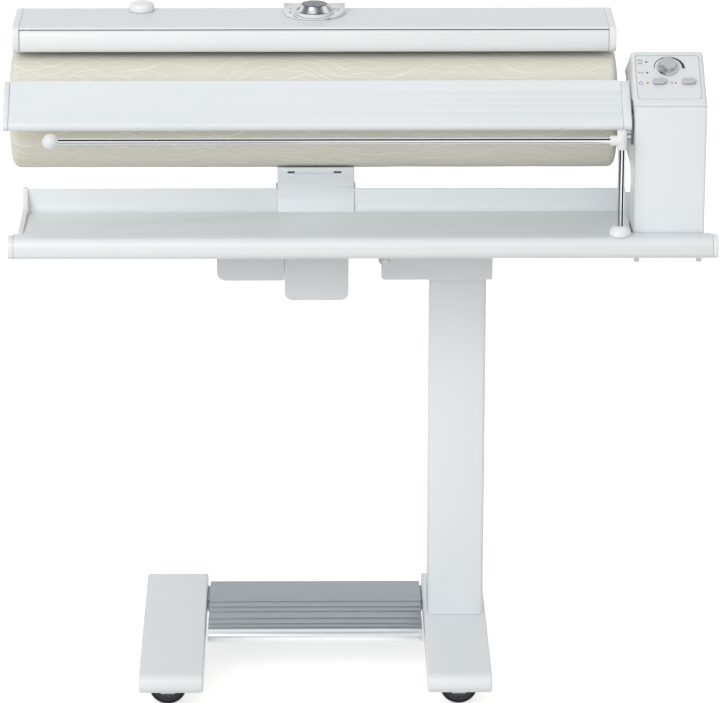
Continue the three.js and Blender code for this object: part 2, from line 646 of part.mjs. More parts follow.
function heaterCap(x0, x1) {
  const outline = [
    [-34, 929.8], [-39.6, 932], [-43, 939], [-43.3, 950], [-41.5, 959], [-39.3, 963], [-36.5, 965.6],
    [rearCentre[0], COVER.top + 0.3],
    ...arc(...rearCentre, COVER.rearRound + 0.3, 80, 0, 7),
    [COVER.rearY + 0.3, COVER.rearZ], [118, 843],
    ...fromPlate(PLATE_IN, PLATE.from, PLATE.to, 12),
    [-26.5, 932],
  ];
  return alongX(outline, x0, x1);
}

// Front flap: stands off the roller and tips forward when fingers reach it
function fingerGuard() {
  const line = [
    [-36.6, 958.6], [-40.2, 954], [-41.6, 948], [-41.6, 940], [-39.5, 934.3], [-35.5, 931.2], [-31.5, 931.2],
  ];
  return alongX(strip(line, 2.5), COVER.leftX + GAP, COVER.rightX - GAP);
}

const FILLER = { x: -301, y: 60, neck: 11, cap: 18, plug: 8 };

function steamTank() {
  const { x, y, neck, plug } = FILLER;
  return build([
    box(-440, -180, 48, 90, 939.5, 954.5),
    rod('z', [x, y, 0], neck, 953, COVER.top - 0.5, 16),
  ], [rod('z', [x, y, 0], plug + RUN, 950, 980, 16), box(-437.5, -182.5, 50.5, 87.5, 942, 952)]);
}

function fillerCap() {
  const { x, y, cap, plug } = FILLER;
  const z = COVER.top + 0.6;
  const dome = turned([
    [958, 0], [958, plug], [z, plug], [z, cap], [z + 6, cap], [z + 9, cap - 2], [z + 11, cap - 7],
    [z + 12, 0],
  ], 'z', [x, y, 0], 24);
  return build([dome, box(x - cap + 3, x + cap - 3, y - 3, y + 3, z + 8, z + 13)]);
}

const TEMP = { x: -62, y: 30, skirt: 24, side: 17.6, height: 10.3, stem: 3 };
const SCALE = { radius: 42.5, frontZ: 966.4, rearY: 57, rearZ: 976.2, seat: 24.6, seatZ: 971.6, rim: 1.9 };

// Half-round plate that rises to the rear, with a level round seat for the knob: the seat stands
// above the slope at the front and is sunk into it at the rear
function scalePlate() {
  const { radius, frontZ, rearY, rearZ, seat, seatZ, rim } = SCALE;
  const z = COVER.top + GAP + 0.25;
  const plan = alongZ([
    ...arc(TEMP.x, radius, radius, 180, 360, 14), [TEMP.x + radius, rearY], [TEMP.x - radius, rearY],
  ], z, z + 20);
  const wedge = alongX([[rearY, z - 1], [rearY, rearZ], [0, frontZ], [0, z - 1]], TEMP.x - 50, TEMP.x + 50);
  const boss = rod('z', [TEMP.x, TEMP.y, 0], seat + rim, z, seatZ, 28);
  return build([common(plan, wedge), boss], [
    rod('z', [TEMP.x, TEMP.y, 0], seat, seatZ, 990, 28),
    rod('z', [TEMP.x, TEMP.y, 0], TEMP.stem + 1, 960, 990, 12),
  ]);
}

function temperatureKnob() {
  const { skirt, side, height, stem } = TEMP;
  const knob = turned([
    [-19.3, 0], [-19.3, stem], [0, stem], [0, skirt], [1.3, skirt], [2.2, skirt - 3], [3.4, side + 1.2],
    [5, side], [height - 1.4, side], [height, side - 1.4], [height, 0],
  ], 'z', [0, 0, 0], 28);
  return knob;
}

part('heater_plate', heaterPlate(), ALUMINIUM);
part('heating_element', heatingElement(), STEEL);
part('heater_cover', heaterCover(), WHITE_METAL);
part('heater_cap_left', heaterCap(COVER.leftX - COVER.cap - GAP, COVER.leftX - GAP), WHITE_PLASTIC);
part('heater_cap_right', heaterCap(COVER.rightX + GAP, COVER.rightX + COVER.cap + GAP), WHITE_PLASTIC);
part('finger_guard', fingerGuard(), WHITE_PLASTIC);
part('steam_tank', steamTank(), WHITE_PLASTIC);
part('filler_cap', fillerCap(), WHITE_PLASTIC);
part('scale_plate', scalePlate(), WHITE_PLASTIC);
const knob = part('temperature_knob', temperatureKnob(), ALUMINIUM);
knob.position.set(TEMP.x, TEMP.y, SCALE.seatZ + 0.4);
part('thermostat', box(-82, -42, 28.5, 52, 943, 951.5), DARK_PLASTIC);

// ---------------------------------------------------------------- console

const consoleOutline = (inset, top) => [
  [CONSOLE.frontY + inset, CONSOLE.bottom + GAP + inset],
  [CONSOLE.frontY + inset, top],
  [CONSOLE.rearY - inset, top],
  [CONSOLE.rearY - inset, CONSOLE.headBottom + 10 + inset * 0.4],
  [CONSOLE.rearY - 10 - inset * 0.4, CONSOLE.headBottom + inset],
  [CONSOLE.pillarY + 9 - inset * 0.4, CONSOLE.headBottom + inset],
  [CONSOLE.pillarY - inset, CONSOLE.headBottom - 9 + inset * 0.4],
  [CONSOLE.pillarY - inset, CONSOLE.bottom + GAP + inset],
];

const GLAND = { x: 440, z: 716, body: 6, flange: 10 };

function consoleShell() {
  const { leftX, rightX, seam, wall } = CONSOLE;
  return build(
    [alongX(consoleOutline(0, seam - GAP), leftX, rightX)],
    [
      alongX(consoleOutline(wall, seam + 2), leftX + wall, rightX - wall),
      rod('x', [0, 0, ROLLER.z], 16, leftX - 1, leftX + wall + 1, 20),
      rod('y', [GLAND.x, 0, GLAND.z], GLAND.body + GAP, CONSOLE.pillarY - wall - 1, CONSOLE.pillarY + 1, 12),
    ]);
}

// The sloping face has its own frame: x across, y up the slope, z out of the face
const slope = new THREE.Group();
const SLOPE_X = (FASCIA.leftX + FASCIA.rightX) / 2;
slope.position.set(SLOPE_X, CONSOLE.frontY, FASCIA.startZ);
slope.rotation.x = FASCIA.slope * DEG;
root.add(slope);
slope.updateMatrix();
const onSlope = (geometry) => geometry.applyMatrix4(slope.matrix);

const oblong = (x, s, width, length) => roundedRect(
  x - width / 2, s - length / 2, x + width / 2, s + length / 2, length / 2 - 0.2, 4);

function fascia() {
  const { leftX, rightX, ridgeY } = FASCIA;
  const ridgeZ = FASCIA.startZ + (ridgeY - CONSOLE.frontY) * Math.tan(FASCIA.slope * DEG);
  const outline = (inset) => [
    [CONSOLE.frontY + inset, CONSOLE.seam + (inset ? -1 : 0)],
    [CONSOLE.frontY + inset, FASCIA.startZ - 0.5 - inset * 0.6],
    [CONSOLE.frontY + 2 + inset * 0.8, FASCIA.startZ + 1 - inset * 0.9],
    [ridgeY - 5, ridgeZ - 2.7 - inset], [ridgeY, ridgeZ - 1 - inset], [ridgeY + 6, ridgeZ - 2 - inset],
    [24 - inset * 0.5, 891.5 - inset], [CONSOLE.rearY - inset, 888 - inset * 0.4],
    [CONSOLE.rearY - inset, CONSOLE.seam + (inset ? -1 : 0)],
  ];
  const { x, s, width, length, depth } = PANEL;
  const recess = alongZ(roundedRect(x - width / 2, s - length / 2, x + width / 2, s + length / 2, 4), -depth, 6);
  const holes = [
    rod('z', [DIAL.x, DIAL.s, 0], 6, -12, 6, 16),
    alongZ(oblong(BUTTON.leftX, BUTTON.s, BUTTON.width - 3, BUTTON.length - 3), -12, 6),
    alongZ(oblong(BUTTON.rightX, BUTTON.s, BUTTON.width - 3, BUTTON.length - 3), -12, 6),
  ];
  return build(
    [alongX(outline(0), leftX, rightX)],
    [alongX(outline(CONSOLE.wall), leftX + 3, rightX - 3), onSlope(recess), ...holes.map(onSlope)]);
}

function fasciaPanel() {
  const { x, s, width, length, depth } = PANEL;
  const edge = GAP;
  const outline = roundedRect(
    x - width / 2 + edge, s - length / 2 + edge, x + width / 2 - edge, s + length / 2 - edge, 3.7);
  const hole = (bx) => oblong(bx, BUTTON.s, BUTTON.width - 3, BUTTON.length - 3).reverse();
  const shaft = arc(DIAL.x, DIAL.s, 6, 0, -337.5, 15);
  return alongZ(outline, -depth + 0.2, 0, [hole(BUTTON.leftX), hole(BUTTON.rightX), shaft]);
}

function dial() {
  const { skirt, radius, height, shaft } = DIAL;
  return turned([
    [-9, 0], [-9, shaft], [0.5, shaft], [0.5, skirt], [1.5, skirt], [2.5, skirt - 1.5], [3, radius + 1],
    [height, radius], [height + 0.8, radius - 1.2], [height + 0.4, 0],
  ], 'z', [0, 0, 0], 28);
}

// Button cap on a stem that reaches through the panel
function button() {
  const cap = alongZ(oblong(0, 0, BUTTON.width, BUTTON.length), 2.6, 5);
  const stem = alongZ(oblong(0, 0, BUTTON.width - 4, BUTTON.length - 4), -7, 3);
  return build([cap, stem]);
}

function gearbox() {
  return build([box(390, 438, -150, 26, 810, 868)],
    [rod('x', [0, 0, ROLLER.z], ROLLER.shaft + RUN, 389, 439, 20)]);
}

function bearing() {
  const bore = ROLLER.shaft + RUN;
  return turned([[373.3, bore], [373.3, 24], [384, 24], [384, bore], [373.3, bore]], 'x', [0, 0, ROLLER.z], 24);
}

function gland() {
  const wall = CONSOLE.pillarY;
  return turned([
    [wall - 10, 3.5], [wall - 10, GLAND.body], [wall + GAP, GLAND.body], [wall + GAP, GLAND.flange],
    [wall + 5, GLAND.flange], [wall + 12, 7], [wall + 12, 3.5], [wall - 10, 3.5],
  ], 'y', [GLAND.x, 0, GLAND.z], 16);
}

part('console_shell', consoleShell(), WHITE_METAL);
part('console_fascia', fascia(), WHITE_PLASTIC);
part('fascia_panel', fasciaPanel(), WHITE_PLASTIC, slope);
part('speed_dial', dial(), ALUMINIUM, slope).position.set(DIAL.x, DIAL.s, 0);
part('button_left', button(), BUTTON_GREY, slope).position.set(BUTTON.leftX, BUTTON.s, 0);
part('button_right', button(), BUTTON_GREY, slope).position.set(BUTTON.rightX, BUTTON.s, 0);
part('control_board', alongZ(roundedRect(-40, 20, 38, 88, 2, 1), -14, -12.4), BOARD_GREEN, slope);
part('roller_motor', turned([
  [698, 0], [698, 20], [702, 26], [780, 26], [784, 18], [809.7, 18], [809.7, 0],
], 'z', [416, -124, 0], 20), STEEL);
part('roller_gearbox', gearbox(), DARK_PLASTIC);
part('roller_bearing', bearing(), STEEL);
part('mains_gland', gland(), DARK_PLASTIC);

// ---------------------------------------------------------------- feed board

const boardRise = Math.atan2(BOARD.rearZ - BOARD.noseZ - BOARD.nose, BOARD.rearY - BOARD.noseY) / DEG;

function feedBoard() {
  const { noseY, noseZ, nose, rearY, rearZ, wall } = BOARD;
  const half = wall / 2;
  const line = [
    [rearY + 1, rearZ - 12],
    [rearY, rearZ - 2],
    ...arc(noseY, noseZ, nose - half, 90 + boardRise, 270, 7),
    [noseY + 16, noseZ - nose + half],
  ];
  return alongX(strip(line, wall), BOARD.leftX, BOARD.rightX);
}

function boardCap(x0, x1, cuts) {
  const { noseY, noseZ, nose, rearY, rearZ } = BOARD;
  const outline = [
    [rearY + 2, rearZ - 12], [rearY + 1.6, rearZ], [rearY - 1, rearZ + 0.5],
    ...arc(noseY, noseZ, nose + 0.3, 90 + boardRise, 270, 7),
    [noseY + 16, noseZ - nose - 0.3],
  ];
  const cap = alongX(outline, x0, x1);
  return cuts.length ? build([cap], cuts) : cap;
}

function boardBracket() {
  const wall = CONSOLE.leftX - GAP;
  return build([
    box(340, wall, -133, -120, 852.3, 860),
    box(360, wall - 1, -133, -130, 833, 846.2),
    box(wall - 3, wall, -133, -100, 825, 866),
  ], [
    rod('y', [364, 0, 836], 1.6, -135, -128, 8),
    rod('y', [364, 0, 843], 1.6, -135, -128, 8),
  ]);
}

part('feed_board', feedBoard(), WHITE_METAL);
part('feed_board_cap_left', boardCap(BOARD.leftX - BOARD.capLeft - GAP, BOARD.leftX - GAP, []), WHITE_PLASTIC);
part('feed_board_cap_right', boardCap(BOARD.rightX + GAP, BOARD.rightX + BOARD.capRight + GAP,
  [box(BOARD.rightX, 370, -134, -119, 851, 861.3)]), WHITE_PLASTIC);
part('feed_board_bracket', boardBracket(), CHROME);

// ---------------------------------------------------------------- laundry pole

function poleBase() {
  return turned([
    [683, 0], [683, 4], [LIP.top + GAP, 4], [LIP.top + GAP, 15], [715, 15], [720, 11.5], [723.5, 8.5],
    [723.5, 0],
  ], 'z', [POLE.x, POLE.y, 0], 24);
}

function poleElbow() {
  const { x, y, z } = POLE;
  return build([
    turned([[831, 0], [831, 6.8], [855.5, 6.8], [857, 5.3], [857, 0]], 'z', [x, y, 0], 16),
    rod('x', [0, y, z], 7, 335, x, 16),
  ], [
    rod('z', [x, y, 0], 3.8 + RUN, 830, 851.5, 12),
    rod('x', [0, y, z], POLE.rod + GAP, 334, 344.3, 12),
  ]);
}

function poleBall() {
  const { y, z, ball, leftX } = POLE;
  const sphere = new THREE.SphereGeometry(ball, 16, 10).translate(leftX - 6, y, z);
  return build([sphere], [rod('x', [0, y, z], POLE.rod + GAP, leftX - GAP, leftX + 10, 12)]);
}

part('pole_base', poleBase(), WHITE_PLASTIC);
part('pole_post', turned([
  [723.8, 0], [723.8, POLE.post], [830.7, POLE.post], [830.7, 3.8], [851, 3.8], [851, 0],
], 'z', [POLE.x, POLE.y, 0], 16), CHROME);
part('pole_elbow', poleElbow(), WHITE_PLASTIC);
part('pole_rod', rod('x', [0, POLE.y, POLE.z], POLE.rod, POLE.leftX, 344, 12), CHROME);
part('pole_ball', poleBall(), WHITE_PLASTIC);

root.position.y = -(FRONT_Y + REAR_Y) / 2;

export default root;
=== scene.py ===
# %% [markdown]
# # A flatwork ironer, dressed in Blender
# A flatwork ironer presses sheets and tablecloths between a turning, padded roller and a heated
# curved plate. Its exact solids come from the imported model. This lesson gives them a camera, light,
# finishes, and the finer shapes that a solid model leaves out.

# %% Load the solid model
import json
import math

import bmesh
import bpy
from mathutils import Matrix, Vector, noise

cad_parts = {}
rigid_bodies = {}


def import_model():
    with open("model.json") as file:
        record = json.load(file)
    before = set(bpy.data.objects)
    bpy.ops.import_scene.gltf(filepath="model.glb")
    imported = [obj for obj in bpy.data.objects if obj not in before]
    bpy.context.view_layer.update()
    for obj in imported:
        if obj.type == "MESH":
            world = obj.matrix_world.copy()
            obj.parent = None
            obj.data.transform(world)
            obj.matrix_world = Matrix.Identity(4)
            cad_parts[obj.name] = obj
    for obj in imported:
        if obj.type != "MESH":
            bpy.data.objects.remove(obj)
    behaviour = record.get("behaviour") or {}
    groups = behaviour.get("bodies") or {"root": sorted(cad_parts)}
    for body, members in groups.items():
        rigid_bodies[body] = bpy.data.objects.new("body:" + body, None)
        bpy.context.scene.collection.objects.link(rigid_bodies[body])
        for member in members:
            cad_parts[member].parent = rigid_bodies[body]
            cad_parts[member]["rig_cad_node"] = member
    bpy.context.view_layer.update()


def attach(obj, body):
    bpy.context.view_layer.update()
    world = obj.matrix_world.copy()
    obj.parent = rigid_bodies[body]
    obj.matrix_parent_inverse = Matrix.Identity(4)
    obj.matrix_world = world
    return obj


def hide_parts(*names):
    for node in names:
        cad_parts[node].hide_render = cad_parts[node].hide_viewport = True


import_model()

# %% [markdown]
# ## The camera
# The photograph was taken from in front and a little above, with a long lens. The camera stands
# 5.7 m away and 2.4 m up, and looks down by 18.5 degrees. The picture is 720 x 703 pixels, and a
# length of 213 mm makes the machine fill it as it does there. The long edges stay level in the
# photograph, so half of the turn to the right is a small shift instead.

# %% Place the camera
CAMERA_PLACE = (-0.0735, -5.699, 2.3917)
LOOK_DOWN = math.radians(18.5)
LOOK_RIGHT = math.radians(0.375)

camera = bpy.data.objects.new("camera", bpy.data.cameras.new("camera"))
bpy.context.scene.collection.objects.link(camera)
camera.location = CAMERA_PLACE
camera.rotation_euler = (math.pi / 2 - LOOK_DOWN, 0, -LOOK_RIGHT)
camera.data.sensor_fit = "HORIZONTAL"
camera.data.sensor_width = 36
camera.data.lens = 213.15
camera.data.shift_x = 0.0374
camera.data.clip_end = 60
bpy.context.scene.camera = camera
print("camera at", CAMERA_PLACE)

# %% [markdown]
# ## Floor and light
# The picture is a catalogue shot on white. A wide pale floor gives the white and takes the soft
# shadow, and the sky light does most of the work, as a white studio tent does. The world and the
# floor look white to the camera, through clear things and in reflections, and light the object less.

# %% Light the sky
WHITE = "#FFFFFF"
SKY_STRENGTH = 0.61


def linear(colour):
    """Turns an sRGB hex colour into the linear numbers that a shader expects."""
    parts = [int(colour[i:i + 2], 16) / 255 for i in (1, 3, 5)]
    return [c / 12.92 if c <= 0.04045 else ((c + 0.055) / 1.055) ** 2.4 for c in parts] + [1.0]


def add_node(tree, kind, inputs=(), **settings):
    """Adds one shader node: inputs maps a socket to a value or to another node's output."""
    made = tree.nodes.new(kind)
    for key, value in settings.items():
        setattr(made, key, value)
    for key, value in dict(inputs).items():
        if isinstance(value, bpy.types.NodeSocket):
            tree.links.new(value, made.inputs[key])
        else:
            made.inputs[key].default_value = value
    return made


def sees_white(tree):
    """Is 1 for a ray from the camera, through a clear thing or off a gloss, and 0 for any other."""
    rays = add_node(tree, "ShaderNodeLightPath").outputs
    seen = add_node(tree, "ShaderNodeMath", {0: rays["Is Camera Ray"], 1: rays["Is Transmission Ray"]},
                    operation="MAXIMUM")
    seen = add_node(tree, "ShaderNodeMath", {0: seen.outputs[0], 1: rays["Is Glossy Ray"]},
                    operation="MAXIMUM")
    return seen.outputs[0]


world = bpy.data.worlds.new("studio")
bpy.context.scene.world = world
world.use_nodes = True
tree = world.node_tree
tree.nodes.clear()
soft = add_node(tree, "ShaderNodeBackground", {"Color": linear(WHITE), "Strength": SKY_STRENGTH})
white = add_node(tree, "ShaderNodeBackground", {"Color": linear(WHITE), "Strength": 1.0})
mix = add_node(tree, "ShaderNodeMixShader", {0: sees_white(tree), 1: soft.outputs[0], 2: white.outputs[0]})
add_node(tree, "ShaderNodeOutputWorld", {"Surface": mix.outputs[0]})
print("sky strength:", SKY_STRENGTH)

# %% [markdown]
# A broad front light draws the form, and a softbox stands near the left end, so the right-hand end is
# a little darker. The front light is left out of reflections, because it would wash out the dark bands
# on the chrome.

# %% Hang the lamps
def lamp(name, kind, energy, place, aim, **settings):
    """A lamp at a place, turned to face a point."""
    data = bpy.data.lights.new(name, kind)
    data.energy = energy
    for key, value in settings.items():
        setattr(data, key, value)
    made = bpy.data.objects.new(name, data)
    bpy.context.scene.collection.objects.link(made)
    made.location = place
    made.rotation_euler = (Vector(aim) - Vector(place)).to_track_quat("-Z", "Y").to_euler()
    return made


front = lamp("front", "SUN", 1.15, (-1.6, -3.6, 2.6), (0, 0, 0.6), angle=math.radians(60))
front.visible_glossy = False
lamp("softbox", "AREA", 19, (-1.75, -2.6, 2.4), (0, 0, 0.75), shape="RECTANGLE", size=2.2, size_y=1.6)
bpy.context.scene.view_settings.view_transform = "Standard"

# %% [markdown]
# The floor is matt paper, 40 m wide. It glows a little for the rays that have to see white, and takes the
# shadow like any other paper.

# %% Lay the floor
FLOOR_GLOW = 0.65


def blank_finish(name):
    """A new material whose node tree is still empty."""
    made = bpy.data.materials.new(name)
    made.use_nodes = True
    made.node_tree.nodes.clear()
    return made


bpy.ops.mesh.primitive_plane_add(size=40, location=(0, 8, 0))
floor = bpy.context.object
floor.name = "studio_floor"
paper = blank_finish("studio_paper")
tree = paper.node_tree
lift = add_node(tree, "ShaderNodeMath", {0: sees_white(tree), 1: FLOOR_GLOW}, operation="MULTIPLY")
matt = add_node(tree, "ShaderNodeBsdfDiffuse", {"Color": linear("#E4E2DD")})
glow = add_node(tree, "ShaderNodeEmission", {"Color": linear(WHITE), "Strength": lift.outputs[0]})
both = add_node(tree, "ShaderNodeAddShader", {0: matt.outputs[0], 1: glow.outputs[0]})
add_node(tree, "ShaderNodeOutputMaterial", {"Surface": both.outputs[0]})
floor.data.materials.append(paper)
print("floor:", tuple(floor.dimensions))

# %% [markdown]
# Chrome shows only what stands round it. Three dark flags and a grey card stand there as in a real
# studio, and give the laundry pole its dark bands. No ray but a glossy one meets them, and the card is
# clear from below.

# %% Stand the flags
felt = blank_finish("studio_flag_felt")
black = add_node(felt.node_tree, "ShaderNodeBsdfDiffuse", {"Color": linear("#1C1F24")})
add_node(felt.node_tree, "ShaderNodeOutputMaterial", {"Surface": black.outputs[0]})

grey = blank_finish("studio_card_grey")
tree = grey.node_tree
side = add_node(tree, "ShaderNodeNewGeometry")
matt = add_node(tree, "ShaderNodeBsdfDiffuse", {"Color": linear("#A4A7AD")})
clear_side = add_node(tree, "ShaderNodeBsdfTransparent")
card = add_node(tree, "ShaderNodeMixShader", {
    0: side.outputs["Backfacing"], 1: matt.outputs[0], 2: clear_side.outputs[0]})
add_node(tree, "ShaderNodeOutputMaterial", {"Surface": card.outputs[0]})

# a standing flag runs from one end to the other between two heights, and a lying one has one height
for name, coat, one_end, other_end, low, high in (
        ("flag_left", felt, (-0.09, -1.62), (-1.323, -0.474), 0.18, 0.52),
        ("flag_right", felt, (0.93, -1.68), (2.025, -0.474), 0.18, 0.52),
        ("flag_above", felt, (-0.47, -0.49), (0.37, -0.15), 1.05, None),
        ("card_below", grey, (-0.47, -1.2), (0.37, -0.35), 0.45, None)):
    bpy.ops.object.select_all(action="DESELECT")
    bpy.ops.mesh.primitive_plane_add(size=1)
    flag = bpy.context.object
    flag.name = name
    for corner in flag.data.vertices:
        x, y = one_end if corner.co.x < 0 else other_end
        if high is None:
            corner.co = (x, one_end[1] if corner.co.y < 0 else other_end[1], low)
        else:
            corner.co = (x, y, low if corner.co.y < 0 else high)
    flag.data.materials.append(coat)
    flag.visible_camera = flag.visible_diffuse = flag.visible_shadow = flag.visible_transmission = False

# %% [markdown]
# ## Finishes
# The housing is sheet steel with a baked white powder coat, and its end caps, console head and guard
# are moulded ABS of the same white. The console head, its panel, the scale plate and the pole's ball get a
# slightly darker copy of that ABS, which is painted shade. Powder leaves a very fine orange peel, and a mould
# leaves a satin skin, so each has its own bump and gloss. Their scales are real sizes in millimetres.

# %% White powder coat and white ABS
MM = 0.001

# Powder coat on steel: a satin skin with peel 3 mm wide, coarser than life so that it shows
powder_white = blank_finish("powder_coated_steel_white")
tree = powder_white.node_tree
place = add_node(tree, "ShaderNodeTexCoord").outputs["Object"]
peel = add_node(tree, "ShaderNodeTexNoise", {"Vector": place, "Scale": 1 / (3 * MM), "Detail": 1.0})
cloud = add_node(tree, "ShaderNodeTexNoise", {"Vector": place, "Scale": 1 / (180 * MM), "Detail": 2.0})
tone = add_node(tree, "ShaderNodeMix", {0: cloud.outputs[0], 6: linear("#DFE4E7"), 7: linear("#E5E9EC")},
                data_type="RGBA")
gloss = add_node(tree, "ShaderNodeMapRange", {0: cloud.outputs[0], 3: 0.34, 4: 0.42})
bump = add_node(tree, "ShaderNodeBump", {"Height": peel.outputs[0], "Strength": 0.05, "Distance": 0.4 * MM})
skin = add_node(tree, "ShaderNodeBsdfPrincipled", {
    "Base Color": tone.outputs[2], "Roughness": gloss.outputs[0], "Normal": bump.outputs[0], "IOR": 1.5})
add_node(tree, "ShaderNodeOutputMaterial", {"Surface": skin.outputs[0]})

# Moulded ABS: a little smoother, with the fine spark-eroded grain of its mould
def white_abs(name, dark, pale):
    """Satin ABS between two close tones, for the white mouldings and for a darker copy that carries painted
    shade.
    """
    made = blank_finish(name)
    tree = made.node_tree
    place = add_node(tree, "ShaderNodeTexCoord").outputs["Object"]
    grain = add_node(tree, "ShaderNodeTexNoise", {"Vector": place, "Scale": 1 / (1.4 * MM), "Detail": 2.0})
    cloud = add_node(tree, "ShaderNodeTexNoise", {"Vector": place, "Scale": 1 / (60 * MM), "Detail": 1.0})
    tone = add_node(tree, "ShaderNodeMix", {0: cloud.outputs[0], 6: linear(dark), 7: linear(pale)},
                    data_type="RGBA")
    bump = add_node(tree, "ShaderNodeBump", {
        "Height": grain.outputs[0], "Strength": 0.06, "Distance": 0.2 * MM})
    skin = add_node(tree, "ShaderNodeBsdfPrincipled", {
        "Base Color": tone.outputs[2], "Roughness": 0.3, "Normal": bump.outputs[0], "IOR": 1.54})
    add_node(tree, "ShaderNodeOutputMaterial", {"Surface": skin.outputs[0]})
    return made


abs_white = white_abs("moulded_abs_white", "#E3E6E7", "#E9EBEC")
# the second is the same white ABS made darker: painted shade on the console head, its panel, the scale plate
# and the pole's ball
abs_white_painted_shade = white_abs("moulded_abs_white_painted_shade", "#DCDFE1", "#E1E4E6")
print("made", powder_white.name, "and", abs_white.name)

# %% [markdown]
# The bracket, the carrier and the two boxes under the tray are enamelled light grey. The pedal is
# extruded aluminium, ground along its length and anodised, so its scratches run along x. Its nose is
# coloured much lighter, which is a painted highlight, so the colour changes there by place.

# %% Grey enamel and anodised aluminium
# Stove enamel: a harder, slightly mottled grey
enamel_grey = blank_finish("stove_enamel_grey")
tree = enamel_grey.node_tree
place = add_node(tree, "ShaderNodeTexCoord").outputs["Object"]
mottle = add_node(tree, "ShaderNodeTexNoise", {"Vector": place, "Scale": 1 / (4 * MM), "Detail": 3.0})
tone = add_node(tree, "ShaderNodeMix", {0: mottle.outputs[0], 6: linear("#DCE0E4"), 7: linear("#E2E5E9")},
                data_type="RGBA")
bump = add_node(tree, "ShaderNodeBump", {"Height": mottle.outputs[0], "Strength": 0.05, "Distance": 0.3 * MM})
skin = add_node(tree, "ShaderNodeBsdfPrincipled", {
    "Base Color": tone.outputs[2], "Roughness": 0.42, "Normal": bump.outputs[0], "IOR": 1.5})
add_node(tree, "ShaderNodeOutputMaterial", {"Surface": skin.outputs[0]})

# Anodised aluminium, ground along x: lines 1.2 mm apart and some 80 mm long, and a painted highlight on the
# nose
anodised = blank_finish("anodised_aluminium_ground")
tree = anodised.node_tree
place = add_node(tree, "ShaderNodeTexCoord").outputs["Object"]
along = add_node(tree, "ShaderNodeMapping", {"Vector": place, "Scale": (12, 800, 800)})
lines = add_node(tree, "ShaderNodeTexNoise", {"Vector": along.outputs[0], "Scale": 1.0, "Detail": 3.0})
tone = add_node(tree, "ShaderNodeMix", {0: lines.outputs[0], 6: linear("#9299A0"), 7: linear("#A9B1B7")},
                data_type="RGBA")
spot = add_node(tree, "ShaderNodeSeparateXYZ", {0: place})
# the front of the nose takes a much lighter colour: a painted highlight
ahead = add_node(tree, "ShaderNodeMapRange", {0: spot.outputs[1], 1: -13 * MM, 2: -19 * MM})
below = add_node(tree, "ShaderNodeMapRange", {0: spot.outputs[2], 1: 75 * MM, 2: 72 * MM})
painted_nose_highlight = add_node(tree, "ShaderNodeMath", {0: ahead.outputs[0], 1: below.outputs[0]}, operation="MULTIPLY")
tone = add_node(tree, "ShaderNodeMix", {0: painted_nose_highlight.outputs[0], 6: tone.outputs[2], 7: linear("#E6EAED")},
                data_type="RGBA")
gloss = add_node(tree, "ShaderNodeMapRange", {0: lines.outputs[0], 3: 0.36, 4: 0.5})
bump = add_node(tree, "ShaderNodeBump", {"Height": lines.outputs[0], "Strength": 0.08, "Distance": 0.2 * MM})
metal = add_node(tree, "ShaderNodeBsdfPrincipled", {
    "Base Color": tone.outputs[2], "Metallic": 1.0, "Roughness": gloss.outputs[0], "Normal": bump.outputs[0]})
add_node(tree, "ShaderNodeOutputMaterial", {"Surface": metal.outputs[0]})
print("made", enamel_grey.name, "and", anodised.name)

# %% [markdown]
# Chrome plate and the dial's lacquered film are alike under the lens: one bright colour, with marks too
# fine to see that make the gloss a little uneven. One function makes both, and only colour, width of
# the marks and gloss differ. Screws, pins and shafts are zinc-plated steel.

# %% Chrome, satin film, blued steel and zinc
def marked_metal(name, colour, mark, shiny, dull):
    """A bright metal whose gloss varies over marks of a real width in millimetres."""
    made = blank_finish(name)
    tree = made.node_tree
    place = add_node(tree, "ShaderNodeTexCoord").outputs["Object"]
    marks = add_node(tree, "ShaderNodeTexNoise", {"Vector": place, "Scale": 1 / (mark * MM), "Detail": 2.0})
    gloss = add_node(tree, "ShaderNodeMapRange", {0: marks.outputs[0], 3: shiny, 4: dull})
    metal = add_node(tree, "ShaderNodeBsdfPrincipled", {
        "Base Color": linear(colour), "Metallic": 1.0, "Roughness": gloss.outputs[0]})
    add_node(tree, "ShaderNodeOutputMaterial", {"Surface": metal.outputs[0]})
    return made


# Bright chrome plate on tube, with the faintest polishing marks
chrome = marked_metal("bright_chrome_plate", "#EEF0F2", 6, 0.05, 0.12)
# Metallised plastic of the dial, lacquered to a satin
silver_dial = marked_metal("metallised_plastic_satin", "#BABFC3", 0.8, 0.22, 0.32)

# Blued steel of the board's bracket, with a soft cloudy oxide
blued = blank_finish("blued_steel_bracket")
tree = blued.node_tree
place = add_node(tree, "ShaderNodeTexCoord").outputs["Object"]
cloud = add_node(tree, "ShaderNodeTexNoise", {"Vector": place, "Scale": 1 / (8 * MM), "Detail": 2.0})
tone = add_node(tree, "ShaderNodeMix", {0: cloud.outputs[0], 6: linear("#7A7F87"), 7: linear("#8A8F97")},
                data_type="RGBA")
metal = add_node(tree, "ShaderNodeBsdfPrincipled", {
    "Base Color": tone.outputs[2], "Metallic": 1.0, "Roughness": 0.3})
add_node(tree, "ShaderNodeOutputMaterial", {"Surface": metal.outputs[0]})

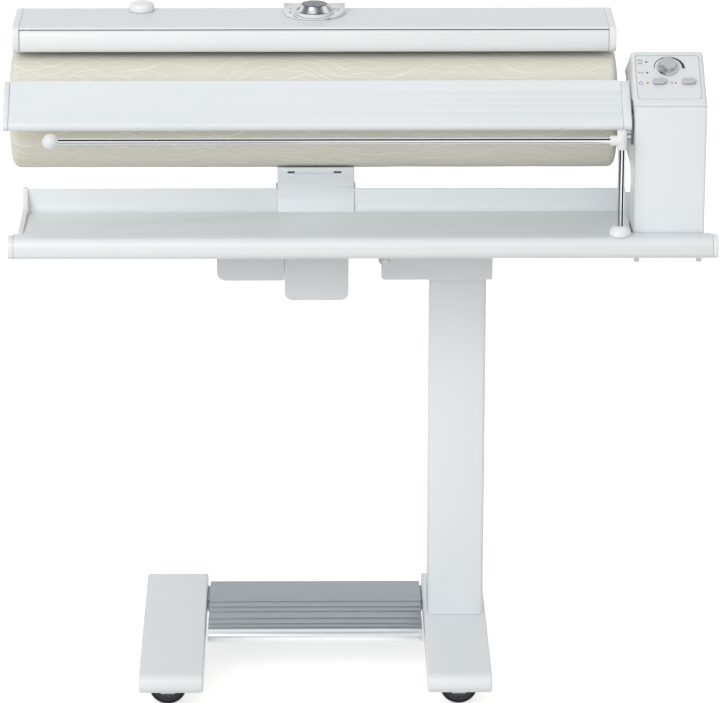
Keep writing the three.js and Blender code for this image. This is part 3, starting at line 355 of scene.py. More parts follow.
# Zinc plate on turned and pressed steel: dull, with a spangle 5 mm wide
zinc = blank_finish("zinc_plated_steel")
tree = zinc.node_tree
place = add_node(tree, "ShaderNodeTexCoord").outputs["Object"]
spangle = add_node(tree, "ShaderNodeTexVoronoi", {"Vector": place, "Scale": 1 / (5 * MM)})
tone = add_node(tree, "ShaderNodeMix", {
    0: spangle.outputs["Distance"], 6: linear("#9DA1A4"), 7: linear("#B3B6B8")}, data_type="RGBA")
gloss = add_node(tree, "ShaderNodeMapRange", {0: spangle.outputs["Distance"], 3: 0.3, 4: 0.45})
metal = add_node(tree, "ShaderNodeBsdfPrincipled", {
    "Base Color": tone.outputs[2], "Metallic": 1.0, "Roughness": gloss.outputs[0]})
add_node(tree, "ShaderNodeOutputMaterial", {"Surface": metal.outputs[0]})
print("made", [m.name for m in (chrome, silver_dial, blued, zinc)])

# %% [markdown]
# The temperature knob has six flutes. Its film is coloured light on their crests and dark between them,
# which is a painted reflection of light and dark surroundings. The angle round the knob's own axis, times
# six, gives a wave with one crest on each flute, so the painted bands follow the form.

# %% The knob's metallised film
AXIS_AHEAD = 3  # the roller's axis lies this far in front of the scene's middle
KNOB_X, KNOB_Y = -62, 30
FLUTES = 6
FIRST_CREST = -98.5

# Painted reflection: light on the crests of the flutes, dark between them
silver_knob = blank_finish("metallised_plastic_silver")
tree = silver_knob.node_tree
place = add_node(tree, "ShaderNodeTexCoord").outputs["Object"]
spot = add_node(tree, "ShaderNodeSeparateXYZ", {0: place})
right = add_node(tree, "ShaderNodeMath", {0: spot.outputs[0], 1: -KNOB_X * MM}, operation="ADD")
rear = add_node(tree, "ShaderNodeMath", {0: spot.outputs[1], 1: (KNOB_Y - AXIS_AHEAD) * MM},
                operation="SUBTRACT")
turn = add_node(tree, "ShaderNodeMath", {0: rear.outputs[0], 1: right.outputs[0]}, operation="ARCTAN2")
crest = add_node(tree, "ShaderNodeMath", {
    0: turn.outputs[0], 1: FLUTES, 2: -math.radians(FLUTES * FIRST_CREST)}, operation="MULTIPLY_ADD")
crest = add_node(tree, "ShaderNodeMath", {0: crest.outputs[0]}, operation="COSINE")
painted_reflection_bands = add_node(tree, "ShaderNodeMapRange", {0: crest.outputs[0], 1: -0.9, 2: 0.95},
                  interpolation_type="SMOOTHSTEP")
tone = add_node(tree, "ShaderNodeMix", {0: painted_reflection_bands.outputs[0], 6: linear("#71777D"), 7: linear("#DDE0E3")},
                data_type="RGBA")
fleck = add_node(tree, "ShaderNodeTexNoise", {"Vector": place, "Scale": 1 / (0.8 * MM), "Detail": 2.0})
gloss = add_node(tree, "ShaderNodeMapRange", {0: fleck.outputs[0], 3: 0.2, 4: 0.32})
metal = add_node(tree, "ShaderNodeBsdfPrincipled", {
    "Base Color": tone.outputs[2], "Metallic": 1.0, "Roughness": gloss.outputs[0]})
add_node(tree, "ShaderNodeOutputMaterial", {"Surface": metal.outputs[0]})
print("made", silver_knob.name)

# %% [markdown]
# The small pieces: black rubber tyres, dark nylon, the grey of the two keys, the lamps' lenses and the
# inks. Rubber scatters light and hardly shines, and ink is a thin matt film. The smallest ones differ
# only in colour, grain and gloss, so one function makes them all.

# %% Rubber, plastics and inks
# Vulcanised rubber with a dusty, pitted skin, pits 1.5 mm apart
tyre_rubber = blank_finish("vulcanised_rubber_black")
tree = tyre_rubber.node_tree
place = add_node(tree, "ShaderNodeTexCoord").outputs["Object"]
pits = add_node(tree, "ShaderNodeTexNoise", {"Vector": place, "Scale": 1 / (1.5 * MM), "Detail": 3.0})
tone = add_node(tree, "ShaderNodeMix", {0: pits.outputs[0], 6: linear("#0A0A0C"), 7: linear("#151618")},
                data_type="RGBA")
bump = add_node(tree, "ShaderNodeBump", {"Height": pits.outputs[0], "Strength": 0.3, "Distance": 0.3 * MM})
skin = add_node(tree, "ShaderNodeBsdfPrincipled", {
    "Base Color": tone.outputs[2], "Roughness": 0.75, "Normal": bump.outputs[0], "IOR": 1.52})
add_node(tree, "ShaderNodeOutputMaterial", {"Surface": skin.outputs[0]})

# Moulded nylon, dark grey
nylon_dark = blank_finish("moulded_nylon_dark")
tree = nylon_dark.node_tree
place = add_node(tree, "ShaderNodeTexCoord").outputs["Object"]
grain = add_node(tree, "ShaderNodeTexNoise", {"Vector": place, "Scale": 1 / (1.2 * MM), "Detail": 2.0})
tone = add_node(tree, "ShaderNodeMix", {0: grain.outputs[0], 6: linear("#36393D"), 7: linear("#43474B")},
                data_type="RGBA")
bump = add_node(tree, "ShaderNodeBump", {"Height": grain.outputs[0], "Strength": 0.15, "Distance": 0.2 * MM})
skin = add_node(tree, "ShaderNodeBsdfPrincipled", {
    "Base Color": tone.outputs[2], "Roughness": 0.5, "Normal": bump.outputs[0], "IOR": 1.53})
add_node(tree, "ShaderNodeOutputMaterial", {"Surface": skin.outputs[0]})


def small_finish(name, dark, pale, grain, roughness, ior=1.5):
    """A small piece's skin: two close tones, clouded over a grain of a real width in millimetres."""
    made = blank_finish(name)
    tree = made.node_tree
    place = add_node(tree, "ShaderNodeTexCoord").outputs["Object"]
    cloud = add_node(tree, "ShaderNodeTexNoise", {"Vector": place, "Scale": 1 / (grain * MM), "Detail": 2.0})
    tone = add_node(tree, "ShaderNodeMix", {0: cloud.outputs[0], 6: linear(dark), 7: linear(pale)},
                    data_type="RGBA")
    skin = add_node(tree, "ShaderNodeBsdfPrincipled", {
        "Base Color": tone.outputs[2], "Roughness": roughness, "IOR": ior})
    add_node(tree, "ShaderNodeOutputMaterial", {"Surface": skin.outputs[0]})
    return made


# Satin grey of the two keys, and the smoked plastic of the knob's flat top
key_grey = small_finish("moulded_key_grey", "#B9BBC2", "#C2C4CA", 1.0, 0.35)
smoke_grey = small_finish("moulded_smoke_grey", "#5E666B", "#6A7277", 1.0, 0.35)
# Matt screen inks: charcoal for the speed band and the dots, lilac grey for the small signs and for the
# painted shadow by the knob
ink_dark = small_finish("screen_ink_charcoal", "#22262A", "#32373B", 0.7, 0.6)
ink_grey = small_finish("screen_ink_lilac_grey", "#7E8090", "#8E90A0", 0.7, 0.6)
# Glossy coloured acrylic over lamps that aren't lit
lens_amber = small_finish("acrylic_lens_amber", "#A8863A", "#C79C4C", 1.0, 0.15, 1.49)
lens_brown = small_finish("acrylic_lens_brown", "#6E4A38", "#8A6048", 1.0, 0.15, 1.49)

# Glass-fibre circuit board: green mask with copper tracks 4 mm apart
track_board = blank_finish("circuit_board_green")
tree = track_board.node_tree
place = add_node(tree, "ShaderNodeTexCoord").outputs["Object"]
tracks = add_node(tree, "ShaderNodeTexBrick", {
    "Vector": place, "Color1": linear("#2C6B3B"), "Color2": linear("#2F7140"), "Mortar": linear("#6E9A4E"),
    "Scale": 1 / (4 * MM), "Mortar Size": 0.08})
skin = add_node(tree, "ShaderNodeBsdfPrincipled", {
    "Base Color": tracks.outputs[0], "Roughness": 0.35, "IOR": 1.5})
add_node(tree, "ShaderNodeOutputMaterial", {"Surface": skin.outputs[0]})
print("materials so far:", len(bpy.data.materials))

# %% [markdown]
# The roller wears a cotton cover over its padding. Pale, slightly raised threads wander along it in
# long waves, cross each other and meet again. Each family of them is a set of lines along x, counted
# by their angle round the roller, so that a whole number of them closes without a seam. Slow noise
# pushes every line sideways by up to its own spacing, which makes the waves. Below them lies a plain
# weave, drawn at 1.6 mm instead of 0.6 mm so that it shows.

# %% The cotton cover's threads and weave
ROLLER_Z = 842
WEAVE = 1.6  # millimetres from thread to thread
WEFT_COUNT = 325  # threads round the roller, at that spacing

cotton = blank_finish("cotton_cover_wavy")
tree = cotton.node_tree
place = add_node(tree, "ShaderNodeTexCoord").outputs["Object"]
spot = add_node(tree, "ShaderNodeSeparateXYZ", {0: place})
back = add_node(tree, "ShaderNodeMath", {0: spot.outputs[1], 1: AXIS_AHEAD * MM}, operation="ADD")
high = add_node(tree, "ShaderNodeMath", {0: spot.outputs[2], 1: ROLLER_Z * MM}, operation="SUBTRACT")
angle = add_node(tree, "ShaderNodeMath", {0: high.outputs[0], 1: back.outputs[0]}, operation="ARCTAN2")
turn = add_node(tree, "ShaderNodeMath", {0: angle.outputs[0], 1: 2 * math.pi}, operation="DIVIDE")
thread_sum = None
for count, wave, seed, reach in ((27, 88, 1.3, 3.0), (31, 76, 7.7, 2.8), (21, 100, 4.1, 3.2)):
    stretch = add_node(tree, "ShaderNodeMapping", {
        "Vector": place, "Location": (seed, seed * 2, seed * 3), "Scale": (1, 0.55, 0.55)})
    sway = add_node(tree, "ShaderNodeTexNoise", {
        "Vector": stretch.outputs[0], "Scale": 1000 / wave, "Detail": 1.0, "Roughness": 0.4})
    lines = add_node(tree, "ShaderNodeMath", {0: turn.outputs[0], 1: count}, operation="MULTIPLY")
    moved = add_node(tree, "ShaderNodeMath", {0: sway.outputs[0], 1: reach * 2, 2: lines.outputs[0]},
                     operation="MULTIPLY_ADD")
    near = add_node(tree, "ShaderNodeMath", {0: moved.outputs[0], 1: 0.5}, operation="PINGPONG")
    thin = add_node(tree, "ShaderNodeMapRange", {0: near.outputs[0], 1: 0.02, 2: 0.075, 3: 1.0, 4: 0.0},
                    interpolation_type="SMOOTHSTEP")
    patch = add_node(tree, "ShaderNodeTexNoise", {
        "Vector": stretch.outputs[0], "Scale": 1000 / (wave * 0.7), "Detail": 1.0})
    there = add_node(tree, "ShaderNodeMapRange", {0: patch.outputs[0], 1: 0.38, 2: 0.56})
    drawn = add_node(tree, "ShaderNodeMath", {0: thin.outputs[0], 1: there.outputs[0]}, operation="MULTIPLY")
    if thread_sum is None:
        thread_sum = drawn
    else:
        thread_sum = add_node(tree, "ShaderNodeMath", {0: thread_sum.outputs[0], 1: drawn.outputs[0]},
                              operation="MAXIMUM")
warp = add_node(tree, "ShaderNodeMath", {0: spot.outputs[0], 1: 2 * math.pi / (WEAVE * MM)},
                operation="MULTIPLY")
warp = add_node(tree, "ShaderNodeMath", {0: warp.outputs[0]}, operation="SINE")
weft = add_node(tree, "ShaderNodeMath", {0: angle.outputs[0], 1: WEFT_COUNT}, operation="MULTIPLY")
weft = add_node(tree, "ShaderNodeMath", {0: weft.outputs[0]}, operation="SINE")
weave = add_node(tree, "ShaderNodeMath", {0: warp.outputs[0], 1: weft.outputs[0]}, operation="MULTIPLY")
cloud = add_node(tree, "ShaderNodeTexNoise", {"Vector": place, "Scale": 1 / (140 * MM), "Detail": 2.0})
ground = add_node(tree, "ShaderNodeMix", {0: cloud.outputs[0], 6: linear("#DAD7C9"), 7: linear("#E3E0D5")},
                  data_type="RGBA")
shade = add_node(tree, "ShaderNodeMapRange", {0: weave.outputs[0], 1: -1.0, 2: 1.0, 3: 0.0, 4: 0.12})
woven = add_node(tree, "ShaderNodeMix", {0: shade.outputs[0], 6: ground.outputs[2], 7: linear("#BDB9A8")},
                 data_type="RGBA")
tone = add_node(tree, "ShaderNodeMath", {0: thread_sum.outputs[0], 1: 0.62}, operation="MULTIPLY")
drawn = add_node(tree, "ShaderNodeMix", {0: tone.outputs[0], 6: woven.outputs[2], 7: linear("#F0EEE6")},
                 data_type="RGBA")
relief = add_node(tree, "ShaderNodeMath", {0: thread_sum.outputs[0], 1: 1.4}, operation="MULTIPLY")
relief = add_node(tree, "ShaderNodeMath", {0: weave.outputs[0], 1: 0.25, 2: relief.outputs[0]},
                  operation="MULTIPLY_ADD")
bump = add_node(tree, "ShaderNodeBump", {"Height": relief.outputs[0], "Strength": 0.4, "Distance": 0.3 * MM})
cloth = add_node(tree, "ShaderNodeBsdfPrincipled", {
    "Base Color": drawn.outputs[2], "Roughness": 0.92, "Normal": bump.outputs[0], "Sheen Weight": 0.15,
    "Sheen Roughness": 0.5})
add_node(tree, "ShaderNodeOutputMaterial", {"Surface": cloth.outputs[0]})
print("cotton nodes:", len(tree.nodes))

# %% [markdown]
# ## Helpers for the shapes
# The drawing's millimetres count y from the roller's axis, which lies 3 mm in front of the scene's
# middle, so one small function turns a drawn point into the scene's metres. Others make the usual
# kinds of piece: a sheet bent along x, a block cut from an outline and a turned piece, each begun as a
# primitive and shaped with edit operators, and a softened copy of a solid.

# %% Points, arcs and a clean start
def metres(x, y, z):
    """A drawn point, in millimetres, in the scene's metres."""
    return Vector((x * MM, (y - AXIS_AHEAD) * MM, z * MM))


def arc(cy, cz, r, start, end, steps):
    """Points on an arc of a section, from one angle to another in degrees."""
    turns = [math.radians(start + (end - start) * i / steps) for i in range(steps + 1)]
    return [(cy + r * math.cos(t), cz + r * math.sin(t)) for t in turns]


def clear():
    if bpy.context.object and bpy.context.object.mode != "OBJECT":
        bpy.ops.object.mode_set(mode="OBJECT")
    bpy.ops.object.select_all(action="DESELECT")


def take(piece):
    """Makes one piece the only selected and active object."""
    clear()
    piece.select_set(True)
    bpy.context.view_layer.objects.active = piece


def fit_modifier(piece, kind, **settings):
    """Adds a modifier and applies it at once."""
    take(piece)
    made = piece.modifiers.new("shape", kind)
    for key, value in settings.items():
        setattr(made, key, value)
    bpy.ops.object.modifier_apply(modifier=made.name)


def soften(piece, width, segments=2, sharp=30, smooth=40, flat=False):
    """Rounds the edges sharper than an angle, as a mould, a bend or paint does, and smooths the rest; with
    flat, the large faces keep their own normals, so that holes in them leave no streaks."""
    if width:
        fit_modifier(piece, "BEVEL", width=width * MM, segments=segments, limit_method="ANGLE",
                     angle_limit=math.radians(sharp))
    take(piece)
    bpy.ops.object.shade_smooth_by_angle(angle=math.radians(smooth))
    if flat:
        fit_modifier(piece, "WEIGHTED_NORMAL", keep_sharp=True, weight=100)
    return piece


def dress(piece, coat, body, slot, *stands_for):
    """Gives a piece its finish and its body, and hides the solids that it stands for."""
    piece.data.materials.clear()
    piece.data.materials.append(coat)
    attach(piece, body)
    if stands_for:
        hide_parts(*stands_for)
    return piece


def joined(piece, *others):
    """Joins more meshes into a piece."""
    take(piece)
    for other in others:
        other.select_set(True)
    bpy.ops.object.join()
    return piece


print("roller axis at", metres(0, 0, ROLLER_Z))

# %% A sheet bent along x
def bent_sheet(name, section, x0, x1, wall):
    """Sheet bent along x: a plane is the first fold, and its edge is extruded from fold to fold."""
    clear()
    bpy.ops.mesh.primitive_plane_add(size=1)
    piece = bpy.context.object
    piece.name = name
    for corner in piece.data.vertices:
        fold = section[0] if corner.co.y < 0 else section[1]
        corner.co = metres(x0 if corner.co.x < 0 else x1, *fold)
    bpy.ops.object.mode_set(mode="EDIT")
    bpy.ops.mesh.select_mode(type="VERT")
    shape = bmesh.from_edit_mesh(piece.data)
    last = metres(0, *section[1])
    for corner in shape.verts:
        corner.select = (corner.co - last).yz.length < 1e-7
    shape.select_flush_mode()
    bmesh.update_edit_mesh(piece.data)
    for before, after in zip(section[1:], section[2:]):
        way = metres(0, *after) - metres(0, *before)
        bpy.ops.mesh.extrude_region_move(TRANSFORM_OT_translate={"value": way})
    clear()
    if wall:
        fit_modifier(piece, "SOLIDIFY", thickness=wall * MM, offset=0, use_even_offset=True)
    return piece


print("sheets start from a plane")

# %% Blocks and turned pieces
def cut_block(name, outline, low, high, axis="x"):
    """A block: a filled circle is moved to the outline, then extruded along one axis."""
    lay = {"x": lambda a, b, c: metres(c, a, b), "y": lambda a, b, c: metres(a, c, b),
           "z": lambda a, b, c: metres(a, b, c)}[axis]
    clear()
    bpy.ops.mesh.primitive_circle_add(vertices=len(outline), fill_type="NGON")
    piece = bpy.context.object
    piece.name = name
    for corner, (a, b) in zip(piece.data.vertices, outline):
        corner.co = lay(a, b, low)
    bpy.ops.object.mode_set(mode="EDIT")
    bpy.ops.mesh.select_all(action="SELECT")
    bpy.ops.mesh.extrude_region_move(TRANSFORM_OT_translate={"value": lay(0, 0, high) - lay(0, 0, low)})
    bpy.ops.mesh.select_all(action="SELECT")
    bpy.ops.mesh.normals_make_consistent(inside=False)
    clear()
    return piece


def turned(name, profile, axis, place, steps=48):
    """A turned piece: a ring is moved to the profile (way along the axis, radius) and spun once round."""
    along = {"x": Vector((1, 0, 0)), "y": Vector((0, 1, 0)), "z": Vector((0, 0, 1))}[axis]
    out = {"x": Vector((0, 0, 1)), "y": Vector((0, 0, 1)), "z": Vector((1, 0, 0))}[axis]
    clear()
    bpy.ops.mesh.primitive_circle_add(vertices=len(profile), fill_type="NOTHING")
    piece = bpy.context.object
    piece.name = name
    centre = metres(*place)
    for corner, (way, radius) in zip(piece.data.vertices, profile):
        corner.co = centre + along * way * MM + out * radius * MM
    bpy.ops.object.mode_set(mode="EDIT")
    bpy.ops.mesh.select_all(action="SELECT")
    bpy.ops.mesh.spin(steps=steps, angle=2 * math.pi, center=centre, axis=along)
    bpy.ops.mesh.select_all(action="SELECT")
    bpy.ops.mesh.remove_doubles(threshold=1e-6)
    bpy.ops.mesh.dissolve_degenerate(threshold=1e-7)
    bpy.ops.mesh.delete_loose()
    bpy.ops.mesh.select_all(action="SELECT")
    bpy.ops.mesh.normals_make_consistent(inside=False)
    clear()
    return piece


def drill(low, high, radius, axis, place, steps=24):
    """A plain round bar along an axis, to cut a hole with."""
    return turned("drill", [(low, 0), (low, radius), (high, radius), (high, 0)], axis, place, steps)


print("blocks and turned pieces start from a circle")

# %% Cutters and softened copies
def cut_away(piece, *cutters):
    """Cuts the shapes of other meshes out of a piece, and throws the cutters away."""
    for cutter in cutters:
        fit_modifier(piece, "BOOLEAN", object=cutter, operation="DIFFERENCE", solver="EXACT")
        bpy.data.objects.remove(cutter)
    return piece


def slab(name, x0, x1, y0, y1, z0, z1):
    """A square block between two corners, to cut with or to build on."""
    clear()
    low, high = metres(x0, y0, z0), metres(x1, y1, z1)
    bpy.ops.mesh.primitive_cube_add(size=1, location=(low + high) / 2, scale=high - low)
    piece = bpy.context.object
    piece.name = name
    bpy.ops.object.transform_apply()
    clear()
    return piece


def eased_copy(node, width, segments=2, sharp=30, smooth=40):
    """A copy of a solid, merged and cleared of its flat faces' inner edges, with its edges rounded."""
    source = bpy.data.objects[node]
    piece = bpy.data.objects.new(f"{node}_eased", source.data.copy())
    bpy.context.scene.collection.objects.link(piece)
    take(piece)
    bpy.ops.object.mode_set(mode="EDIT")
    bpy.ops.mesh.select_all(action="SELECT")
    bpy.ops.mesh.remove_doubles(threshold=1e-6)
    bpy.ops.mesh.dissolve_limited(angle_limit=math.radians(1))
    clear()
    return soften(piece, width, segments, sharp, smooth)


def copied(piece, name, x=0, y=0, z=0):
    """A copy of a piece, with a mesh of its own, moved by millimetres."""
    made = bpy.data.objects.new(name, piece.data.copy())
    bpy.context.scene.collection.objects.link(made)
    made.data.transform(Matrix.Translation(Vector((x, y, z)) * MM))
    return made


def round_rectangle(x, y, width, length, r, steps=4):
    """The outline of a rectangle with round corners, about its middle."""
    x0, x1, y0, y1 = x - width / 2, x + width / 2, y - length / 2, y + length / 2
    return (arc(x1 - r, y0 + r, r, -90, 0, steps) + arc(x1 - r, y1 - r, r, 0, 90, steps)
            + arc(x0 + r, y1 - r, r, 90, 180, steps) + arc(x0 + r, y0 + r, r, 180, 270, steps))


def flute(piece, centre, inner, outer, above, wave):
    """Moves an upright turned piece's points in or out by a wave of their angle, between two radii."""
    for corner in piece.data.vertices:
        offset = corner.co - centre
        if inner * MM < offset.xy.length < outer * MM and offset.z > above * MM:
            turn = math.atan2(offset.y, offset.x)
            corner.co.x += math.cos(turn) * wave(turn) * MM
            corner.co.y += math.sin(turn) * wave(turn) * MM


print("cutters start from a cube or a circle")

# %% [markdown]
# ## The roller's cover
# On the real machine the steel roller is wrapped in felt, and a cotton cover is drawn over it and
# gathered round both ends by a cord in its hem. The cover is turned as a sleeve with many rings, then its
# skin is moved a little in code: shallow swells where the felt is uneven, and pleats that deepen towards
# the hem. A cloth simulation was left out here, because the cover is pulled tight over a stiff drum.

# %% Sew the roller cover
COVER_LEFT, COVER_RIGHT, COVER_R = -479.5, 353.5, 82.8
INNER_R = 72.3
BODY_RINGS = 96

skin = [(COVER_LEFT + 4.2, 60), (COVER_LEFT + 2, 60.4), (COVER_LEFT + 0.8, 62), (COVER_LEFT + 0.3, 64.5),
        (COVER_LEFT + 0.9, 67), (COVER_LEFT + 1.4, 68.2)]
skin += [(COVER_LEFT + 13 - 12 * math.cos(math.radians(a)), 69.8 + 13 * math.sin(math.radians(a)))
         for a in range(6, 90, 9)]
first, last = COVER_LEFT + 13, COVER_RIGHT - 11
skin += [(first + (last - first) * i / BODY_RINGS, COVER_R) for i in range(BODY_RINGS + 1)]
skin += [(COVER_RIGHT - 11 + 10 * math.sin(math.radians(a)), 69.8 + 13 * math.cos(math.radians(a)))
         for a in range(9, 85, 9)]
skin += [(COVER_RIGHT - 1.4, 68.2), (COVER_RIGHT - 0.9, 67), (COVER_RIGHT - 0.3, 64.5),
         (COVER_RIGHT - 0.8, 62), (COVER_RIGHT - 2, 60.4), (COVER_RIGHT - 4, 60)]
skin += [(COVER_RIGHT - 4, INNER_R), (COVER_LEFT + 4.2, INNER_R)]
roller_sleeve = turned("roller_cover_cloth", skin, "x", (0, 0, ROLLER_Z), 180)
print("sleeve faces:", len(roller_sleeve.data.polygons))

# %% Swell the felt and gather the hem
HEM = 26
PLEATS = 46

axis_point = metres(0, 0, ROLLER_Z)
for corner in roller_sleeve.data.vertices:
    x = corner.co.x / MM
    out = Vector((0, corner.co.y - axis_point.y, corner.co.z - axis_point.z))
    radius = out.length / MM
    if abs(radius - INNER_R) < 0.2 and COVER_LEFT + 4 < x < COVER_RIGHT - 3.9:
        continue
    turn = math.atan2(out.z, out.y)
    round_about = Vector((math.cos(turn) * 2.2, math.sin(turn) * 2.2, 0))
    wide = noise.noise(Vector((x / 60, 0, 0)) + round_about) * 0.35
    narrow = noise.noise(Vector((x / 22, 5, 0)) + round_about * 2) * 0.15
    end = min(x - COVER_LEFT, COVER_RIGHT - x)
    gather = max(0.0, 1 - end / HEM) ** 2
    pleat = math.sin(turn * PLEATS + 2.5 * noise.noise(round_about * 3)) * 0.9 * gather
    corner.co += out.normalized() * (wide + narrow - 0.3 + pleat - 0.9 * gather) * MM
soften(roller_sleeve, 0, smooth=70)
dress(roller_sleeve, cotton, "roller", "cloth", "roller_cover")
print("pleats:", PLEATS)

# %% [markdown]
# ## The heated plate's housing
# Above and behind the roller sits the housing of the heated plate. Its cover is one sheet of steel,
# bent from the front edge over the top and down the back. Two moulded caps close its ends, and a
# moulded guard hangs along the front to keep fingers from the nip.

# %% Bend the cover
COVER_X = (-465, 340.5)
FILLER_X, FILLER_Y = -301, 60

rear = (66.0, 905.0)  # the middle of the cover's round rear top
cover_line = [(-37.9, 962.3), (-37.7, 963), (-37.0, 963.7), (-35.8, 964.0), (-33.5, 963.8),
              (rear[0] - 8, 963.7)]
cover_line += arc(rear[0], rear[1], 58.75, 88, 0, 22) + [(124.75, 880), (124.75, 852)]
housing = bent_sheet("heater_cover_sheet", cover_line, *COVER_X, 2.5)
cut_away(housing, drill(930, 985, 11.3, "z", (FILLER_X, FILLER_Y, 0), 32),
         drill(930, 985, 4, "z", (KNOB_X, KNOB_Y, 0)))
soften(housing, 0.5, 2, flat=True)
dress(housing, powder_white, "heater", "white_metal", "heater_cover")
print("housing faces:", len(housing.data.polygons))

# %% Mould the end caps
ARM_PIN = (100, 700)
PLATE_OPEN = math.radians(5)
PLATE_R = 86.3

# the plate is drawn open, so its middle is the roller's axis turned about the arm's pin
reach = ROLLER_Z - ARM_PIN[1]
plate_middle = (ARM_PIN[0] * (1 - math.cos(PLATE_OPEN)) + reach * math.sin(PLATE_OPEN),
                ARM_PIN[1] + ARM_PIN[0] * math.sin(PLATE_OPEN) + reach * math.cos(PLATE_OPEN))
cap_line = [(-34, 929.8), (-38.2, 931.4), (-41, 934), (-42.8, 938), (-43.4, 944), (-43.2, 951), (-42, 957.5),
            (-40, 962), (-37.6, 964.6), (-34, 965.3), (rear[0] - 8, 965.3)]
cap_line += arc(rear[0], rear[1], 60.3, 88, 0, 20) + [(126.3, 852), (118, 843)]
cap_line += arc(*plate_middle, PLATE_R, -8, 108, 24) + [(-26.5, 932)]
left_cap = cut_block("heater_cap_left_moulding", cap_line, -475.3, -465.3)
soften(left_cap, 1.4, 3, sharp=50)
right_cap = copied(left_cap, "heater_cap_right_moulding", x=816.1)
dress(left_cap, abs_white, "heater", "white_plastic", "heater_cap_left")
dress(right_cap, abs_white, "heater", "white_plastic", "heater_cap_right")
print("plate's middle at", [round(v, 1) for v in plate_middle])

# %% Mould the finger guard
guard_line = [(-35.6, 959.6), (-36.6, 959.7), (-37.6, 959.4), (-38.6, 958.4), (-39.6, 956.8), (-40.5, 954.4),
              (-41.1, 950.9), (-41.6, 947), (-41.7, 943), (-41.5, 939.4), (-40.7, 936.2), (-39.2, 933.6),
              (-37.3, 932), (-35.0, 931.3), (-31.5, 931.2)]
guard = bent_sheet("finger_guard_moulding", guard_line, COVER_X[0] + 0.3, COVER_X[1] - 0.3, 2.5)
soften(guard, 0.6, 2)
dress(guard, abs_white, "guard", "white_plastic", "finger_guard")
print("guard faces:", len(guard.data.polygons))

# %% [markdown]
# ## Filler cap, scale and temperature knob
# The water for steam goes in under a small domed cap with a finger bar. The temperature knob stands on
# a half-round scale plate that slopes towards the person ironing, with a level seat for the knob. The
# knob has a wide skirt, fluted sides of metallised plastic and a flat smoked top, and the scale has one,
# two and three dots, as on a hand iron.

# %% Turn the filler cap
dome = [(958, 0), (958, 8), (965.6, 8), (965.6, 17.6), (966.2, 18), (971, 18)]
dome += [(971 + 6.2 * math.sin(math.radians(a)), 9.5 + 8.5 * math.cos(math.radians(a)))
         for a in range(12, 91, 13)]
dome += [(977.5, 5), (977.6, 0)]
dome_turned = turned("filler_cap_dome", dome, "z", (FILLER_X, FILLER_Y, 0), 72)
flute(dome_turned, metres(FILLER_X, FILLER_Y, 0), 17, 19, 0,
      lambda turn: -0.175 - 0.175 * math.cos(turn * 24))
bar_line = [(FILLER_X + x, z) for x, z in (
    (-14, 974), (-13, 976.6), (-9, 978.4), (9, 978.4), (13, 976.6), (14, 974))]
finger_bar = cut_block("filler_bar", bar_line, FILLER_Y - 3, FILLER_Y + 3, axis="y")
soften(finger_bar, 1.2, 3)
soften(dome_turned, 0, smooth=35)
joined(dome_turned, finger_bar)
dress(dome_turned, abs_white, "filler", "white_plastic", "filler_cap")
print("filler cap faces:", len(dome_turned.data.polygons))

# %% Ease the scale plate and turn the knob
scale = eased_copy("scale_plate", 0.7, 3)
dress(scale, abs_white_painted_shade, "heater", "white_plastic", "scale_plate")


def stand_on(piece, matrix):
    """Moves a piece, made round the origin, to its place, and leaves its object at the origin."""
    take(piece)
    piece.matrix_world = matrix
    bpy.ops.object.transform_apply()
    return piece


def round_origin(name, profile, steps):
    """A turned piece made upright at the scene's origin."""
    return turned(name, profile, "z", (0, AXIS_AHEAD, 0), steps)


knob_place = Matrix.Translation(metres(KNOB_X, KNOB_Y, 972))
knob_side = [(-19.3, 0), (-19.3, 3), (0, 3), (0, 23.4), (0.3, 23.8), (0.7, 23.7), (1.2, 22.4), (2.2, 21.2),
             (4, 20), (6, 18.9), (8.7, 17.9), (8.9, 17.6), (8.9, 0)]
knob = round_origin("temperature_knob_body", knob_side, 132)
flute(knob, Vector(), 17, 23, 1,
      lambda turn: 0.35 * math.cos(FLUTES * (turn - math.radians(FIRST_CREST))) - 0.35)
soften(stand_on(knob, knob_place), 0, smooth=28)
dress(knob, silver_knob, "knob", "aluminium", "temperature_knob")
knob_top = round_origin("temperature_knob_top", [
    (9, 0), (9, 17.3), (9.2, 17.7), (9.8, 17.7), (10.1, 17.3), (10.1, 0)], 96)
soften(stand_on(knob_top, knob_place), 0, smooth=35)
dress(knob_top, smoke_grey, "knob", "button_grey", "temperature_knob")
pointer = slab("temperature_pointer", -0.6, 0.6, AXIS_AHEAD - 15, AXIS_AHEAD - 7.5, 10.1, 10.25)
stand_on(pointer, knob_place)
dress(pointer, ink_dark, "knob", "dark_plastic")
print("knob at", [round(v, 4) for v in knob_place.translation])

# %% Print the scale's dots
PRINT_LOW, PRINT_HIGH = 0.02, 0.14
DOT_RING_Y, DOT_RING_R = 30.5, 33.5

scale_tilt = Matrix.Translation(metres(KNOB_X, 0, 966.4)) @ Matrix.Rotation(math.atan(9.8 / 57), 4, "X")


def shifted(piece, x, y):
    """Moves a piece's mesh across the plane that it is drawn on."""
    piece.data.transform(Matrix.Translation((x * MM, y * MM, 0)))
    return piece


dot = round_origin("dot", [(PRINT_LOW, 0), (PRINT_LOW, 1.1), (PRINT_HIGH, 1.1), (PRINT_HIGH, 0)], 12)
dots = []
for count, first_turn in ((1, 168), (2, 188), (3, 212), (3, 300)):
    for i in range(count):
        swing = math.radians(first_turn + i * 6)
        dots.append(copied(dot, "dot", DOT_RING_R * math.cos(swing),
                           DOT_RING_Y + DOT_RING_R * math.sin(swing)))
bpy.data.objects.remove(dot)
scale_dots = joined(dots[0], *dots[1:])
scale_dots.name = "scale_dots"
stand_on(scale_dots, scale_tilt)
dress(scale_dots, ink_dark, "heater", "dark_plastic")

